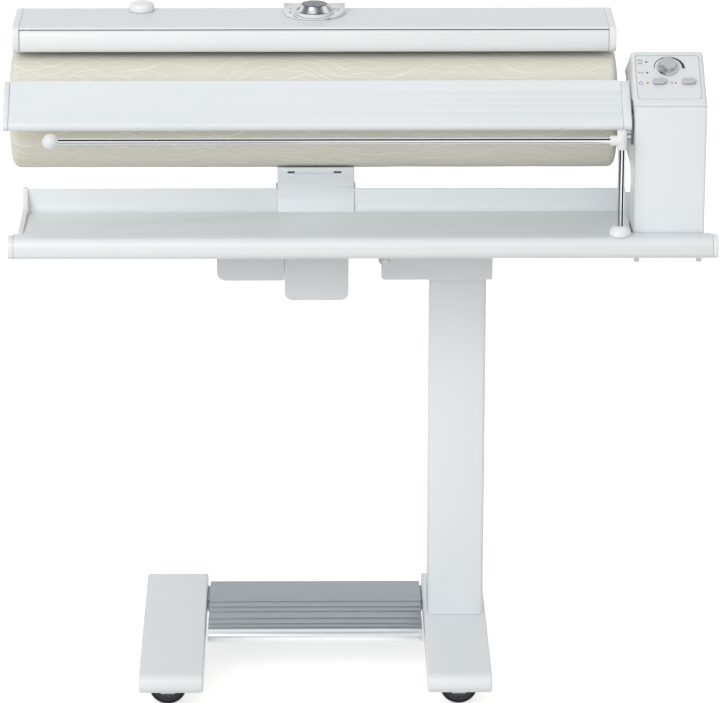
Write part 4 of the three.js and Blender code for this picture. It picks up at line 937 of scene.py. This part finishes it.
# a grey arc in front of the knob: painted shadow of its skirt, laid as a thin print; a small printed ring
# stands to its right
bow = arc(0, 33.5, 28.6, 196, 344, 37) + arc(0, 33.5, 27.3, 344, 196, 37)
scale_bow = cut_block("scale_bow", bow, PRINT_LOW, PRINT_HIGH, axis="z")
ring_side = [(PRINT_LOW, 3.9), (PRINT_LOW, 5), (PRINT_HIGH, 5), (PRINT_HIGH, 3.9)]
joined(scale_bow, shifted(round_origin("scale_ring", ring_side, 32), 30, 34))
stand_on(scale_bow, scale_tilt)
dress(scale_bow, ink_grey, "heater", "dark_plastic")
print("dots:", len(dots))

# %% [markdown]
# ## The feed board
# In front of the roller a bent steel board carries the laundry to the nip. It slopes up to the rear and
# rolls under at its nose, and four fine lines are pressed along it. Moulded caps close its ends, and a
# blued steel bracket with two screws holds it at the console.

# %% Bend the feed board
NOSE = (-139, 854.7)  # the middle of the round nose
BOARD_REAR = (-82, 900.7)
GROOVE_PLACES = (17.4, 31.6, 41.4, 54)  # down the slope from the board's rear edge
GROOVE_SHAPE = ((0, 0), (0.4, 0.5), (1.1, 0.5), (1.5, 0))

BOARD_RISE = math.atan2(BOARD_REAR[1] - NOSE[1] - 7.5, BOARD_REAR[0] - NOSE[0])
nose_top = 90 + math.degrees(BOARD_RISE)
board_line = [(-81.2, 889), (-81.6, 896.5), (-82.6, 899.3)]
for place in GROOVE_PLACES:
    board_line += [(BOARD_REAR[0] - (place + way) * math.cos(BOARD_RISE),
                    BOARD_REAR[1] - 1.5 - (place + way) * math.sin(BOARD_RISE) - depth)
                   for way, depth in GROOVE_SHAPE]
board_line += arc(*NOSE, 6.0, nose_top, 270, 24) + [(-123, 848.7)]
board = bent_sheet("feed_board_sheet", board_line, -475.5, 354.5, 3)
soften(board, 0.5, 2, sharp=70, smooth=20)
dress(board, powder_white, "upper_unit", "white_metal", "feed_board")
print("board rises by", round(math.degrees(BOARD_RISE), 1), "degrees")

# %% Cap the board's ends and hold it
board_end = [(-80, 888.7), (-80.2, 899.6), (-81, 900.9), (-83, 901.1)]
board_end += arc(*NOSE, 7.8, nose_top, 270, 14) + [(-123, 846.9)]
left_cap = cut_block("feed_board_cap_left_moulding", board_end, -483.5, -475.8)
right_cap = cut_block("feed_board_cap_right_moulding", board_end, 354.8, 366.3)
cut_away(right_cap, slab("bracket_cutter", 354, 368, -134, -119, 851, 861.3))
for cap, width, node in ((left_cap, 1.8, "feed_board_cap_left"), (right_cap, 1.2, "feed_board_cap_right")):
    soften(cap, width, 3, sharp=50)
    dress(cap, abs_white, "upper_unit", "white_plastic", node)

bracket = eased_copy("feed_board_bracket", 0.4, 2)
dress(bracket, blued, "upper_unit", "chrome", "feed_board_bracket")
screw_side = [(-1.7, 0), (-1.4, 1.7), (-0.6, 2.5), (-0.1, 2.6), (-0.1, 1.2), (3, 1.2), (3, 0)]
low_screw = turned("bracket_screw", screw_side, "y", (364, -133, 836), 20)
soften(low_screw, 0, smooth=50)
for screw in (low_screw, copied(low_screw, "bracket_screw", z=7)):
    dress(screw, abs_white, "upper_unit", "white_plastic")
print("bracket faces:", len(bracket.data.polygons))

# %% [markdown]
# ## The console
# The console stands at the right-hand end. Its body is sheet steel: a narrow pillar with a deeper head
# that holds the roller's gearbox. A moulded cap with a sloping face sits on it. Both are thin shells, so
# the bottom or top face of a block is deleted and the rest is given its wall. Its upright edges are
# rounded first, and are picked by a test of their two ends.

# %% Open a block and round chosen edges
def opened(piece, wall, up):
    """Deletes the faces that look up or down the z axis at one end and gives the shell its wall."""
    take(piece)
    bpy.ops.object.mode_set(mode="EDIT")
    bpy.ops.mesh.select_all(action="DESELECT")
    shape = bmesh.from_edit_mesh(piece.data)
    heights = [face.calc_center_median().z for face in shape.faces if face.normal.z * up > 0.99]
    edge = max(heights) if up > 0 else min(heights)
    for face in shape.faces:
        face.select = face.normal.z * up > 0.99 and abs(face.calc_center_median().z - edge) < 1e-5
    bmesh.update_edit_mesh(piece.data)
    bpy.ops.mesh.delete(type="FACE")
    clear()
    fit_modifier(piece, "SOLIDIFY", thickness=wall * MM, offset=-1, use_even_offset=True)
    return piece


def round_edges(piece, width, segments, test):
    """Bevels the edges whose two ends both pass a test, as with a hand-made selection."""
    take(piece)
    bpy.ops.object.mode_set(mode="EDIT")
    bpy.ops.mesh.select_mode(type="EDGE")
    bpy.ops.mesh.select_all(action="DESELECT")
    shape = bmesh.from_edit_mesh(piece.data)
    ahead = Vector((0, AXIS_AHEAD, 0))
    for edge in shape.edges:
        if len(edge.link_faces) == 2 and edge.calc_face_angle() > math.radians(25):
            edge.select = test(*[corner.co / MM + ahead for corner in edge.verts])
    bmesh.update_edit_mesh(piece.data)
    bpy.ops.mesh.bevel(offset=width * MM, segments=segments, affect="EDGES")
    clear()
    return piece


def in_one_wall(a, b):
    """Is true for an edge that lies in the left or the right wall of a block along x."""
    return abs(a.x - b.x) < 0.1


print("shells start from a block")

# %% Fold the console's body
CONSOLE_X = (370, 466.5)
CONSOLE_FRONT, CONSOLE_REAR = -160, 30
CONSOLE_TOP = 884.7
HEAD_FLOOR = 780
TRAY_UNDER = 690.3

console_line = [(CONSOLE_FRONT, TRAY_UNDER), (CONSOLE_FRONT, CONSOLE_TOP), (CONSOLE_REAR, CONSOLE_TOP),
                (CONSOLE_REAR, HEAD_FLOOR + 10), (CONSOLE_REAR - 10, HEAD_FLOOR), (-80, HEAD_FLOOR),
                (-89, HEAD_FLOOR - 9), (-89, TRAY_UNDER)]
shell = cut_block("console_shell_sheet", console_line, *CONSOLE_X)
round_edges(shell, 3.5, 4, lambda a, b: in_one_wall(a, b) and max(a.y, b.y) < CONSOLE_FRONT + 0.1)
round_edges(shell, 2, 3, lambda a, b: in_one_wall(a, b) and max(a.y, b.y) > CONSOLE_FRONT + 5
            and min(a.z, b.z) < CONSOLE_TOP - 0.7)
opened(shell, 3, 1)
cut_away(shell, drill(360, 376, 16, "x", (0, 0, ROLLER_Z), 40), drill(-95, -84, 6.4, "y", (440, 0, 716), 32))
soften(shell, 0.3, 1, sharp=60)
dress(shell, powder_white, "upper_unit", "white_metal", "console_shell")
print("shell faces:", len(shell.data.polygons))

# %% Mould the sloping cap
SLOPE = math.radians(30.1)
SLOPE_FOOT = 888
RIDGE_Y = -72

on_slope = Matrix.Translation(metres(417.25, CONSOLE_FRONT, SLOPE_FOOT)) @ Matrix.Rotation(SLOPE, 4, "X")
ridge_z = SLOPE_FOOT + (RIDGE_Y - CONSOLE_FRONT) * math.tan(SLOPE)
cap_side = [(-158.6, 885), (-158.8, 886.1), (CONSOLE_FRONT, 886.5), (CONSOLE_FRONT, 887.6),
            (-159.6, 888.4), (-158.6, 889)]
cap_side += [(-76, ridge_z - 2.2), (-73, ridge_z - 1.0), (-70, ridge_z - 1.0), (-66.4, ridge_z - 2.0)]
cap_side += [(22, 892.3), (27, 890.4), (CONSOLE_REAR, 887.5), (CONSOLE_REAR, 885)]
head = cut_block("console_fascia_moulding", cap_side, CONSOLE_X[0] - 2, CONSOLE_X[1])
round_edges(head, 5, 6, lambda a, b: in_one_wall(a, b) and min(a.z, b.z) > SLOPE_FOOT - 2
            and max(a.z, b.z) > SLOPE_FOOT + 0.5)
opened(head, 3, -1)
print("ridge at", round(ridge_z, 1), "mm")

# %% Sink the panel and its openings
PANEL = (-0.75, 52.5, 87.5, 84)  # its middle across and up the slope, its width and its length
PANEL_GAP = 1.05
DIAL_X, DIAL_UP = -0.8, 70
KEY_LEFT, KEY_RIGHT, KEY_UP = -13, 26.5, 42


def slope_block(name, outline, low, high):
    """A block drawn on the sloping face: x across, y up the slope, z out of it."""
    piece = cut_block(name, [(x, up + AXIS_AHEAD) for x, up in outline], low, high, axis="z")
    return stand_on(piece, on_slope)


def openings():
    """Fresh cutters for the dial's shaft and the two keys' stems."""
    shapes = [arc(DIAL_X, DIAL_UP, 6, 0, 345, 23)]
    shapes += [round_rectangle(x, KEY_UP, 17, 7, 3.2) for x in (KEY_LEFT, KEY_RIGHT)]
    return [slope_block("opening_cutter", shape, -12, 6) for shape in shapes]


cut_away(head, slope_block("recess_cutter", round_rectangle(*PANEL, 4), -1.5, 6), *openings())
soften(head, 0.35, 2, sharp=40, flat=True)
dress(head, abs_white_painted_shade, "upper_unit", "white_plastic", "console_fascia")

panel_line = round_rectangle(PANEL[0], PANEL[1], PANEL[2] - 2 * PANEL_GAP, PANEL[3] - 2 * PANEL_GAP, 3.7)
face = slope_block("fascia_panel_sheet", panel_line, -1.3, 0)
cut_away(face, *openings())
soften(face, 0.3, 2, sharp=40, flat=True)
dress(face, abs_white_painted_shade, "upper_unit", "white_plastic", "fascia_panel")
print("panel faces:", len(face.data.polygons))

# %% [markdown]
# The speed dial is metallised plastic: a thin skirt and a cone with a dished top. Behind it a printed
# band widens to the right, which shows the speed. Two grey keys sit below it, with small lamps and plain
# signs beside them. The prints are raised by a tenth of a millimetre, as thick screen ink is.

# %% Turn the dial
dial_side = [(-9, 0), (-9, 4), (0.5, 4), (0.5, 14.6), (0.9, 15), (1.4, 15), (2, 14.4), (2.5, 13), (3.4, 12.2),
             (8.8, 11.4), (10.2, 10.9), (11, 10), (11.2, 9), (10.7, 6), (10.5, 3), (10.4, 0)]
dial = round_origin("speed_dial_body", dial_side, 96)
flute(dial, Vector(), 11.2, 12.6, 3, lambda turn: 0.3 * math.cos(turn * 24))
soften(stand_on(shifted(dial, DIAL_X, DIAL_UP), on_slope), 0, smooth=32)
dress(dial, silver_dial, "dial", "aluminium", "speed_dial")
print("dial faces:", len(dial.data.polygons))

# %% Print the speed band
BAND_MIDDLE = (0.2, 71)
BAND_R = 18.6
BAND_STEPS = 40

outer = []
for i in range(BAND_STEPS + 1):
    turn = math.radians(185 - i * 4.75)
    radius = BAND_R + 0.9 + 3.1 * (i / BAND_STEPS) ** 1.6
    outer.append((BAND_MIDDLE[0] + radius * math.cos(turn), BAND_MIDDLE[1] + radius * math.sin(turn)))
inner = arc(*BAND_MIDDLE, BAND_R, 185 - BAND_STEPS * 4.75, 185, BAND_STEPS)
speed_band = slope_block("speed_band_print", outer + inner, 0.02, 0.12)
dress(speed_band, ink_dark, "upper_unit", "dark_plastic")
print("band points:", len(outer + inner))

# %% Mould the keys and the lamps' lenses
# a key is round at its left end and has a blunt point at its right end
key_line = arc(KEY_LEFT - 5, KEY_UP, 5, 90, 270, 8)
key_line += [(KEY_LEFT + x, KEY_UP + up) for x, up in ((4, -5), (8.5, -2.25), (10, 0), (8.5, 2.25), (4, 5))]
left_key = slope_block("button_left_key", key_line, 2.4, 5)
soften(left_key, 1.1, 3, sharp=50)
joined(left_key, slope_block("key_stem", round_rectangle(KEY_LEFT, KEY_UP, 16, 6, 2.8), -7, 2.6))
right_key = copied(left_key, "button_right_key", x=KEY_RIGHT - KEY_LEFT)
dress(left_key, key_grey, "left_button", "button_grey", "button_left")
dress(right_key, key_grey, "right_button", "button_grey", "button_right")

lens_side = [(-1, 0), (-1, 1.5), (0.2, 1.5), (0.6, 1.3), (0.9, 0.8), (1, 0)]
lens = soften(round_origin("lens", lens_side, 20), 0, smooth=40)
for name, x, up, coat in (("lamp_top", -29, 81.5, lens_brown), ("lamp_middle", -29, 61, lens_brown),
                          ("lamp_left", -29.6, 41.4, lens_amber), ("lamp_right", 8.9, 41.4, lens_amber)):
    dress(stand_on(copied(lens, name, x, up), on_slope), coat, "upper_unit", "dark_plastic")
bpy.data.objects.remove(lens)
print("keys: 2, lamps: 4")

# %% Print the small signs
def print_stroke(points, width=0.8):
    """One printed stroke along a line of points on the slope."""
    left, right = [], []
    for i, (x, up) in enumerate(points):
        before, after = points[max(i - 1, 0)], points[min(i + 1, len(points) - 1)]
        way = Vector((after[0] - before[0], after[1] - before[1])).normalized()
        left.append((x - way.y * width / 2, up + way.x * width / 2))
        right.append((x + way.y * width / 2, up - way.x * width / 2))
    return slope_block("stroke", left + right[::-1], 0.02, 0.12)


# a roller between a flat and a bent line, a wave, a drop, and a pair of upright bars
strokes = [print_stroke(arc(-37.8, 81.5, 2.6, 200, 520, 18), 0.7),
           print_stroke([(-42, 78), (-33.6, 78)], 0.7),
           print_stroke([(-41.6, 84.4), (-37.8, 86.4), (-34, 84.4)]),
           print_stroke([(-41 + 0.5 * i, 61 + 1.4 * math.sin(i * 0.9)) for i in range(15)]),
           print_stroke(arc(-38.4, 40.6, 2.4, 125, 415, 18)),
           print_stroke([(-39.8, 42.6), (-38.4, 45.4), (-37, 42.6)])]
strokes += [print_stroke([(x, 39), (x, 44)]) for x in (2.2, 4.4)]
signs = joined(strokes[0], *strokes[1:])
signs.name = "panel_signs"
dress(signs, ink_grey, "upper_unit", "dark_plastic")
print("signs:", len(strokes), "strokes")

# %% [markdown]
# ## The laundry tray
# The tray is one sheet of steel whose front edge is rolled into a deep round lip. Its trough catches the
# ironed laundry, and its rear wall leaves room for the arm's cover. Moulded caps close the lip's ends.

# %% Roll the tray
LIP_Y = -184.5
LIP_LOW, LIP_HIGH = 692, 698.5  # the middles of the lip's two round corners
TRAY_X = (-457.5, 368)


def lip_curve(r):
    """The lip's front, from below to above, at a distance from its middles."""
    return arc(LIP_Y, LIP_LOW, r, 270, 180, 10) + arc(LIP_Y, LIP_HIGH, r, 180, 90, 10)


tray_line = [(-168, 682)] + lip_curve(10) + [(-172, 708.4), (-170, 708.2), (-160, 707.6), (-44, 703.2)]
tray_line += arc(-47.5, 713.4, 10.2, 290, 350, 8)[1:] + [(-37, 736)]
tray = bent_sheet("tray_sheet", tray_line, -469, 476, 3)
cut_away(tray, slab("left_cutter", -470, TRAY_X[0], -162, 0, 640, 760),
         slab("right_cutter", TRAY_X[1], 477, -162, 0, 640, 760),
         slab("arm_cutter", -113.8, -6.7, -46.3, 0, 640, 760))
leg = slab("tray_leg", *TRAY_X, -140, -137, TRAY_UNDER, 704)
soften(tray, 0.5, 2, sharp=45)
joined(tray, leg, copied(leg, "tray_leg", y=78))
dress(tray, powder_white, "upper_unit", "white_metal", "tray")
print("tray faces:", len(tray.data.polygons))

# %% Cap the lip's ends
cap = eased_copy("tray_left_cap", 0.8, 3, sharp=40)
dress(cap, abs_white, "upper_unit", "white_plastic", "tray_left_cap")
lip_end = [(-166, 680.5)] + lip_curve(11.5) + [(-170, 710), (-164, 704.5)]
cap = cut_block("tray_right_cap_moulding", lip_end, 476.3, 483.5)
soften(cap, 1.4, 3, sharp=50)
dress(cap, abs_white, "upper_unit", "white_plastic", "tray_right_cap")
print("right cap faces:", len(cap.data.polygons))

# %% [markdown]
# ## The arm's cover and the carrier
# A painted hood hides the arm that carries the heated plate. Its face is hollowed, its top follows the
# roller, and it has two narrow vents and a fine seam near its top.

# %% Fold the arm's cover
HOOD_X = (-113.5, -7)
VENTS = ((-99.3, -89.3), (-35.8, -24.8))

hood_top = COVER_R + 3.4  # from the roller's axis
hood_line = [(-46, TRAY_UNDER), (-46, 704), (-45.2, 706.5), (-43.4, 711.5), (-41.8, 716.5), (-40.7, 721),
             (-40.1, 725.5), (-39.9, 731), (-40, 736), (-40.9, 742), (-42.6, 749), (-44.8, 756),
             (-46.3, 760.2), (-47, 764), (-46.8, 767)]
hood_line += arc(0, ROLLER_Z, hood_top, math.degrees(math.acos(45.4 / hood_top)) - 180,
                 -math.degrees(math.acos(36 / hood_top)), 22)
hood_line += [(84, 746), (84, TRAY_UNDER)]
hood = cut_block("arm_cover_hood", hood_line, *HOOD_X)
round_edges(hood, 1.6, 3, lambda a, b: in_one_wall(a, b) and max(a.z, b.z) < 769 and max(a.y, b.y) < -40
            and min(a.z, b.z) < 767.5)
opened(hood, 2.5, -1)
cut_away(hood, slab("tail_cutter", -88.5, -73, 78, 85, 689, 703),
         *[slab("vent_pocket", x0, x1, -50, -44.9, 760.3, 763.4) for x0, x1 in VENTS],
         slab("seam_pocket", -87.8, -37.3, -50, -44.8, 759.8, 760.8))
soften(hood, 0.3, 2, sharp=60)
dress(hood, powder_white, "upper_unit", "white_metal", "arm_cover")
# each vent is a dark nylon block behind three thin bars; the block is painted shade for the dark inside of
# the opening
vents = []
for x0, x1 in [(pocket[0] + 0.2, pocket[1] - 0.2) for pocket in VENTS]:
    vents.append(slab("vent_grille", x0, x1, -45.5, -44.95, 760.4, 763.2))
    for x in (x0 + 2.4, (x0 + x1) / 2, x1 - 2.4):
        vents.append(slab("vent_bar", x - 0.4, x + 0.4, -45.9, -45.6, 760.4, 763.2))
vent_shade_blocks_and_bars = joined(vents[0], *vents[1:])
dress(vent_shade_blocks_and_bars, nylon_dark, "upper_unit", "dark_plastic")
print("hood faces:", len(hood.data.polygons))

# %% [markdown]
# Two grey boxes hang under the tray, and the drive sits in the deep one. The carrier beam and the head
# bracket join the upper unit to the column. Their solids already have the right form, so each gets an
# eased copy, as paint and bending leave it.

# %% Ease the boxes, the beam and the column
for node, body, coat, slot, width, segments in (
        ("under_box_left", "upper_unit", enamel_grey, "grey_metal", 1.2, 3),
        ("under_box_right", "upper_unit", enamel_grey, "grey_metal", 1.2, 3),
        ("head_bracket", "stand", enamel_grey, "grey_metal", 0.8, 3),
        ("carrier_beam", "upper_unit", enamel_grey, "grey_metal", 0.6, 3),
        ("column", "stand", powder_white, "white_metal", 0.4, 2),
        ("base_cross_bar", "stand", anodised, "aluminium", 0.6, 3),
        ("press_arm", "heater", enamel_grey, "grey_metal", 0.6, 3)):
    dress(eased_copy(node, width, segments, sharp=50, smooth=30), coat, body, slot, node)

# %% Turn the fold pin and ease its latch
latch = eased_copy("fold_latch", 0.5, 2, sharp=40)
dress(latch, enamel_grey, "latch", "grey_metal", "fold_latch")
pin_side = [(-8.8, 0), (-8.8, 2.6), (-8.3, 3.8), (-7.4, 4.7), (-6.4, 5), (-5.3, 5), (-5.3, 3.5), (107, 3.5),
            (107, 0)]
pin = turned("fold_pin_turned", pin_side, "y", (37, 0, 621), 48)
soften(pin, 0, smooth=40)
dress(pin, abs_white, "stand", "white_metal", "fold_pin")
screw_side = [(-46.9, 0), (-46.9, 1.2), (-46.5, 1.7), (-46.1, 1.9), (-44, 1.9), (-44, 0)]
screw = turned("box_screw", screw_side, "y", (-61, 0, 632.5), 24)
soften(screw, 0, smooth=40)
dress(screw, enamel_grey, "upper_unit", "grey_metal")
print("pin faces:", len(pin.data.polygons))

# %% [markdown]
# ## The stand
# Two long beams of painted sheet steel run from front to rear under the machine, each with a full round
# nose, and small black wheels below. Between them lies the foot pedal, one wide aluminium section: a flat
# band at the rear, ribs for grip, and a rolled nose.

# %% Roll the foot beams
WHEEL_LEFT, WHEEL_RIGHT = -271, 141
WHEEL_FRONT, WHEEL_REAR = -111, 140
WHEEL_R = 26.5

beam_line = [(202, 44), (202, 70), (200, 72)] + arc(-182, 58, 14, 90, 270, 20)
left_beam = cut_block("left_foot_beam_shell", beam_line, -309.5, -219.5)
round_edges(left_beam, 3.2, 4, in_one_wall)
opened(left_beam, 3, -1)
soften(left_beam, 0, smooth=40)
right_beam = copied(left_beam, "right_foot_beam_shell", x=404.5)

# each wheel hangs between two fork plates, and the first plate is copied for them all
plate = slab("fork_plate", -10, 10, -17, -13, 18, 70)
cut_away(plate, drill(-18, -12, 4.3, "y", (0, 0, WHEEL_R)))
soften(plate, 0.5, 2, sharp=60)
for beam, node, wheel_x in ((left_beam, "left_foot_beam", WHEEL_LEFT),
                            (right_beam, "right_foot_beam", WHEEL_RIGHT)):
    plates = [copied(plate, "fork_plate", wheel_x, y + gap) for y in (WHEEL_FRONT, WHEEL_REAR)
              for gap in (0, 30)]
    joined(beam, *plates)
    dress(beam, powder_white, "stand", "white_metal", node)
bpy.data.objects.remove(plate)
print("faces of a beam:", len(left_beam.data.polygons))

# %% Press the pedal
PEDAL_X = (-216, 92)
PEDAL_LOW, PEDAL_HIGH = 67.9, 69.2
RIDGES = (95.7, 74.6, 57.2, 30.5, 9.9, -4.0)
HINGE_ROD = (120, 58)

pedal_line = [(174, 68.5), (110, 68.5), (107, PEDAL_LOW)]
for y in RIDGES:
    pedal_line += [(y + 3.4, PEDAL_LOW), (y + 1.6, PEDAL_HIGH), (y - 1.6, PEDAL_HIGH), (y - 3.4, PEDAL_LOW)]
pedal_line += [(-12, PEDAL_LOW), (-15, 68.5)] + arc(-18, 61, 7.5, 90, 240, 12)[1:]
pedal = bent_sheet("foot_pedal_section", pedal_line, *PEDAL_X, 3)
ear = slab("pedal_ear", -202, -197, HINGE_ROD[0] - 8, HINGE_ROD[0] + 8, 51, 68)
cut_away(ear, drill(-203, -196, 4.3, "x", (0, *HINGE_ROD)))
rib = slab("pedal_rib", PEDAL_X[0], PEDAL_X[0] + 3, -19, 108, 60, 67.5)
soften(pedal, 0.5, 2, sharp=50, smooth=30)
joined(pedal, ear, copied(ear, "pedal_ear", x=275),
       rib, copied(rib, "pedal_rib", x=PEDAL_X[1] - PEDAL_X[0] - 3))
dress(pedal, anodised, "pedal", "aluminium", "foot_pedal")
print("pedal faces:", len(pedal.data.polygons))

# %% Turn the wheels
TYRE_HALF = [(-12, 20), (-12, 24), (-11, 25.6), (-9, 26.4), (-4, WHEEL_R), (-3.6, 25.7), (-3, 25.7),
             (-2.6, WHEEL_R)]
HUB_HALF = [(-17, 0), (-17, 3.6), (-16.4, 4), (-12.4, 4), (-12.4, 7), (-10.5, 8), (-10, 17), (-11.6, 18.4),
            (-12, 20)]


def wheel_part(name, half, steps):
    """A turned part of a wheel, from one half of its profile and that half's mirror image."""
    profile = half + [(-way, radius) for way, radius in reversed(half)]
    return soften(turned(name, profile, "y", (0, 0, WHEEL_R), steps), 0, smooth=35)


tyre = wheel_part("tyre", TYRE_HALF, 64)
hub = wheel_part("hub", HUB_HALF, 48)
for row, y in (("front", WHEEL_FRONT), ("rear", WHEEL_REAR)):
    for side, x in (("left", WHEEL_LEFT), ("right", WHEEL_RIGHT)):
        node, body = f"wheel_{row}_{side}", f"{row}_{side}_wheel"
        dress(copied(tyre, f"{node}_tyre", x, y), tyre_rubber, body, "rubber", node)
        dress(copied(hub, f"{node}_hub", x, y), nylon_dark, body, "rubber", node)
for first_one in (tyre, hub):
    bpy.data.objects.remove(first_one)
print("wheels: 4")

# %% [markdown]
# ## The laundry pole
# A chromed post stands on the tray's lip and carries a thin chromed rod along the front, to hang ironed
# laundry on. A moulded elbow holds the rod and turns on the post, and a ball closes the rod's free end.

# %% Turn the base and the post
POLE_X, POLE_Y = 351, -176
ROD_Z = 842.5

base_side = [(683, 0), (683, 4), (710.3, 4), (710.3, 14.6), (711, 15), (713.5, 15), (716.5, 14.2),
             (719.5, 12.4), (721.8, 10), (723.2, 8), (723.5, 6.6), (723.5, 0)]
base = turned("pole_base_moulding", base_side, "z", (POLE_X, POLE_Y, 0), 64)
soften(base, 0, smooth=35)
dress(base, abs_white, "upper_unit", "white_plastic", "pole_base")
post_side = [(723.8, 0), (723.8, 5.2), (830.2, 5.2), (830.7, 4.7), (830.7, 3.8), (851, 3.8), (851, 0)]
post = turned("pole_post_tube", post_side, "z", (POLE_X, POLE_Y, 0), 48)
soften(post, 0, smooth=35)
dress(post, chrome, "upper_unit", "chrome", "pole_post")
print("post faces:", len(post.data.polygons))

# %% Turn the rod and its ball
elbow = eased_copy("pole_elbow", 0.5, 2, sharp=40, smooth=35)
dress(elbow, abs_white, "pole", "white_plastic", "pole_elbow")
rod_side = [(-411, 0), (-411, 3.8), (-410.6, 4.2), (343.6, 4.2), (344, 3.8), (344, 0)]
rod = turned("pole_rod_tube", rod_side, "x", (0, POLE_Y, ROD_Z), 36)
soften(rod, 0, smooth=35)
dress(rod, chrome, "pole", "chrome", "pole_rod")
ball_side = [(-428, 0)] + [(-417 - 11 * math.cos(math.radians(a)), 11 * math.sin(math.radians(a)))
                           for a in range(8, 157, 8)] + [(-406.6, 4.5), (-411.3, 4.5), (-411.3, 0)]
ball = turned("pole_ball_moulding", ball_side, "x", (0, POLE_Y, ROD_Z), 48)
soften(ball, 0, smooth=50)
dress(ball, abs_white_painted_shade, "pole", "white_plastic", "pole_ball")
print("pole at", metres(POLE_X, POLE_Y, ROD_Z))

# %% [markdown]
# ## Finishes for the solids that stay
# The pieces inside the machine keep their solids. Each gets the finish of the real piece, so that an open
# or folded machine looks right too.

# %% Finish what is inside
kept = {
    "pedal_hinge_rod": zinc, "pedal_spring": zinc, "pedal_switch": nylon_dark, "plate_motor": zinc,
    "plate_crank": zinc, "press_arm_pin": zinc, "roller_core": zinc, "roller_shaft": zinc,
    "heater_plate": anodised, "heating_element": zinc, "steam_tank": abs_white, "thermostat": nylon_dark,
    "control_board": track_board, "roller_motor": zinc, "roller_gearbox": nylon_dark, "roller_bearing": zinc,
    "mains_gland": nylon_dark,
}
for node, coat in kept.items():
    solid = bpy.data.objects[node]
    if not solid.material_slots:
        solid.data.materials.append(coat)
    for holder in solid.material_slots:
        holder.material = coat
left_bare = [o.name for o in bpy.data.objects
             if o.get("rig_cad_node") and not o.hide_render and o.name not in kept]
print("solids still without a finish:", left_bare)
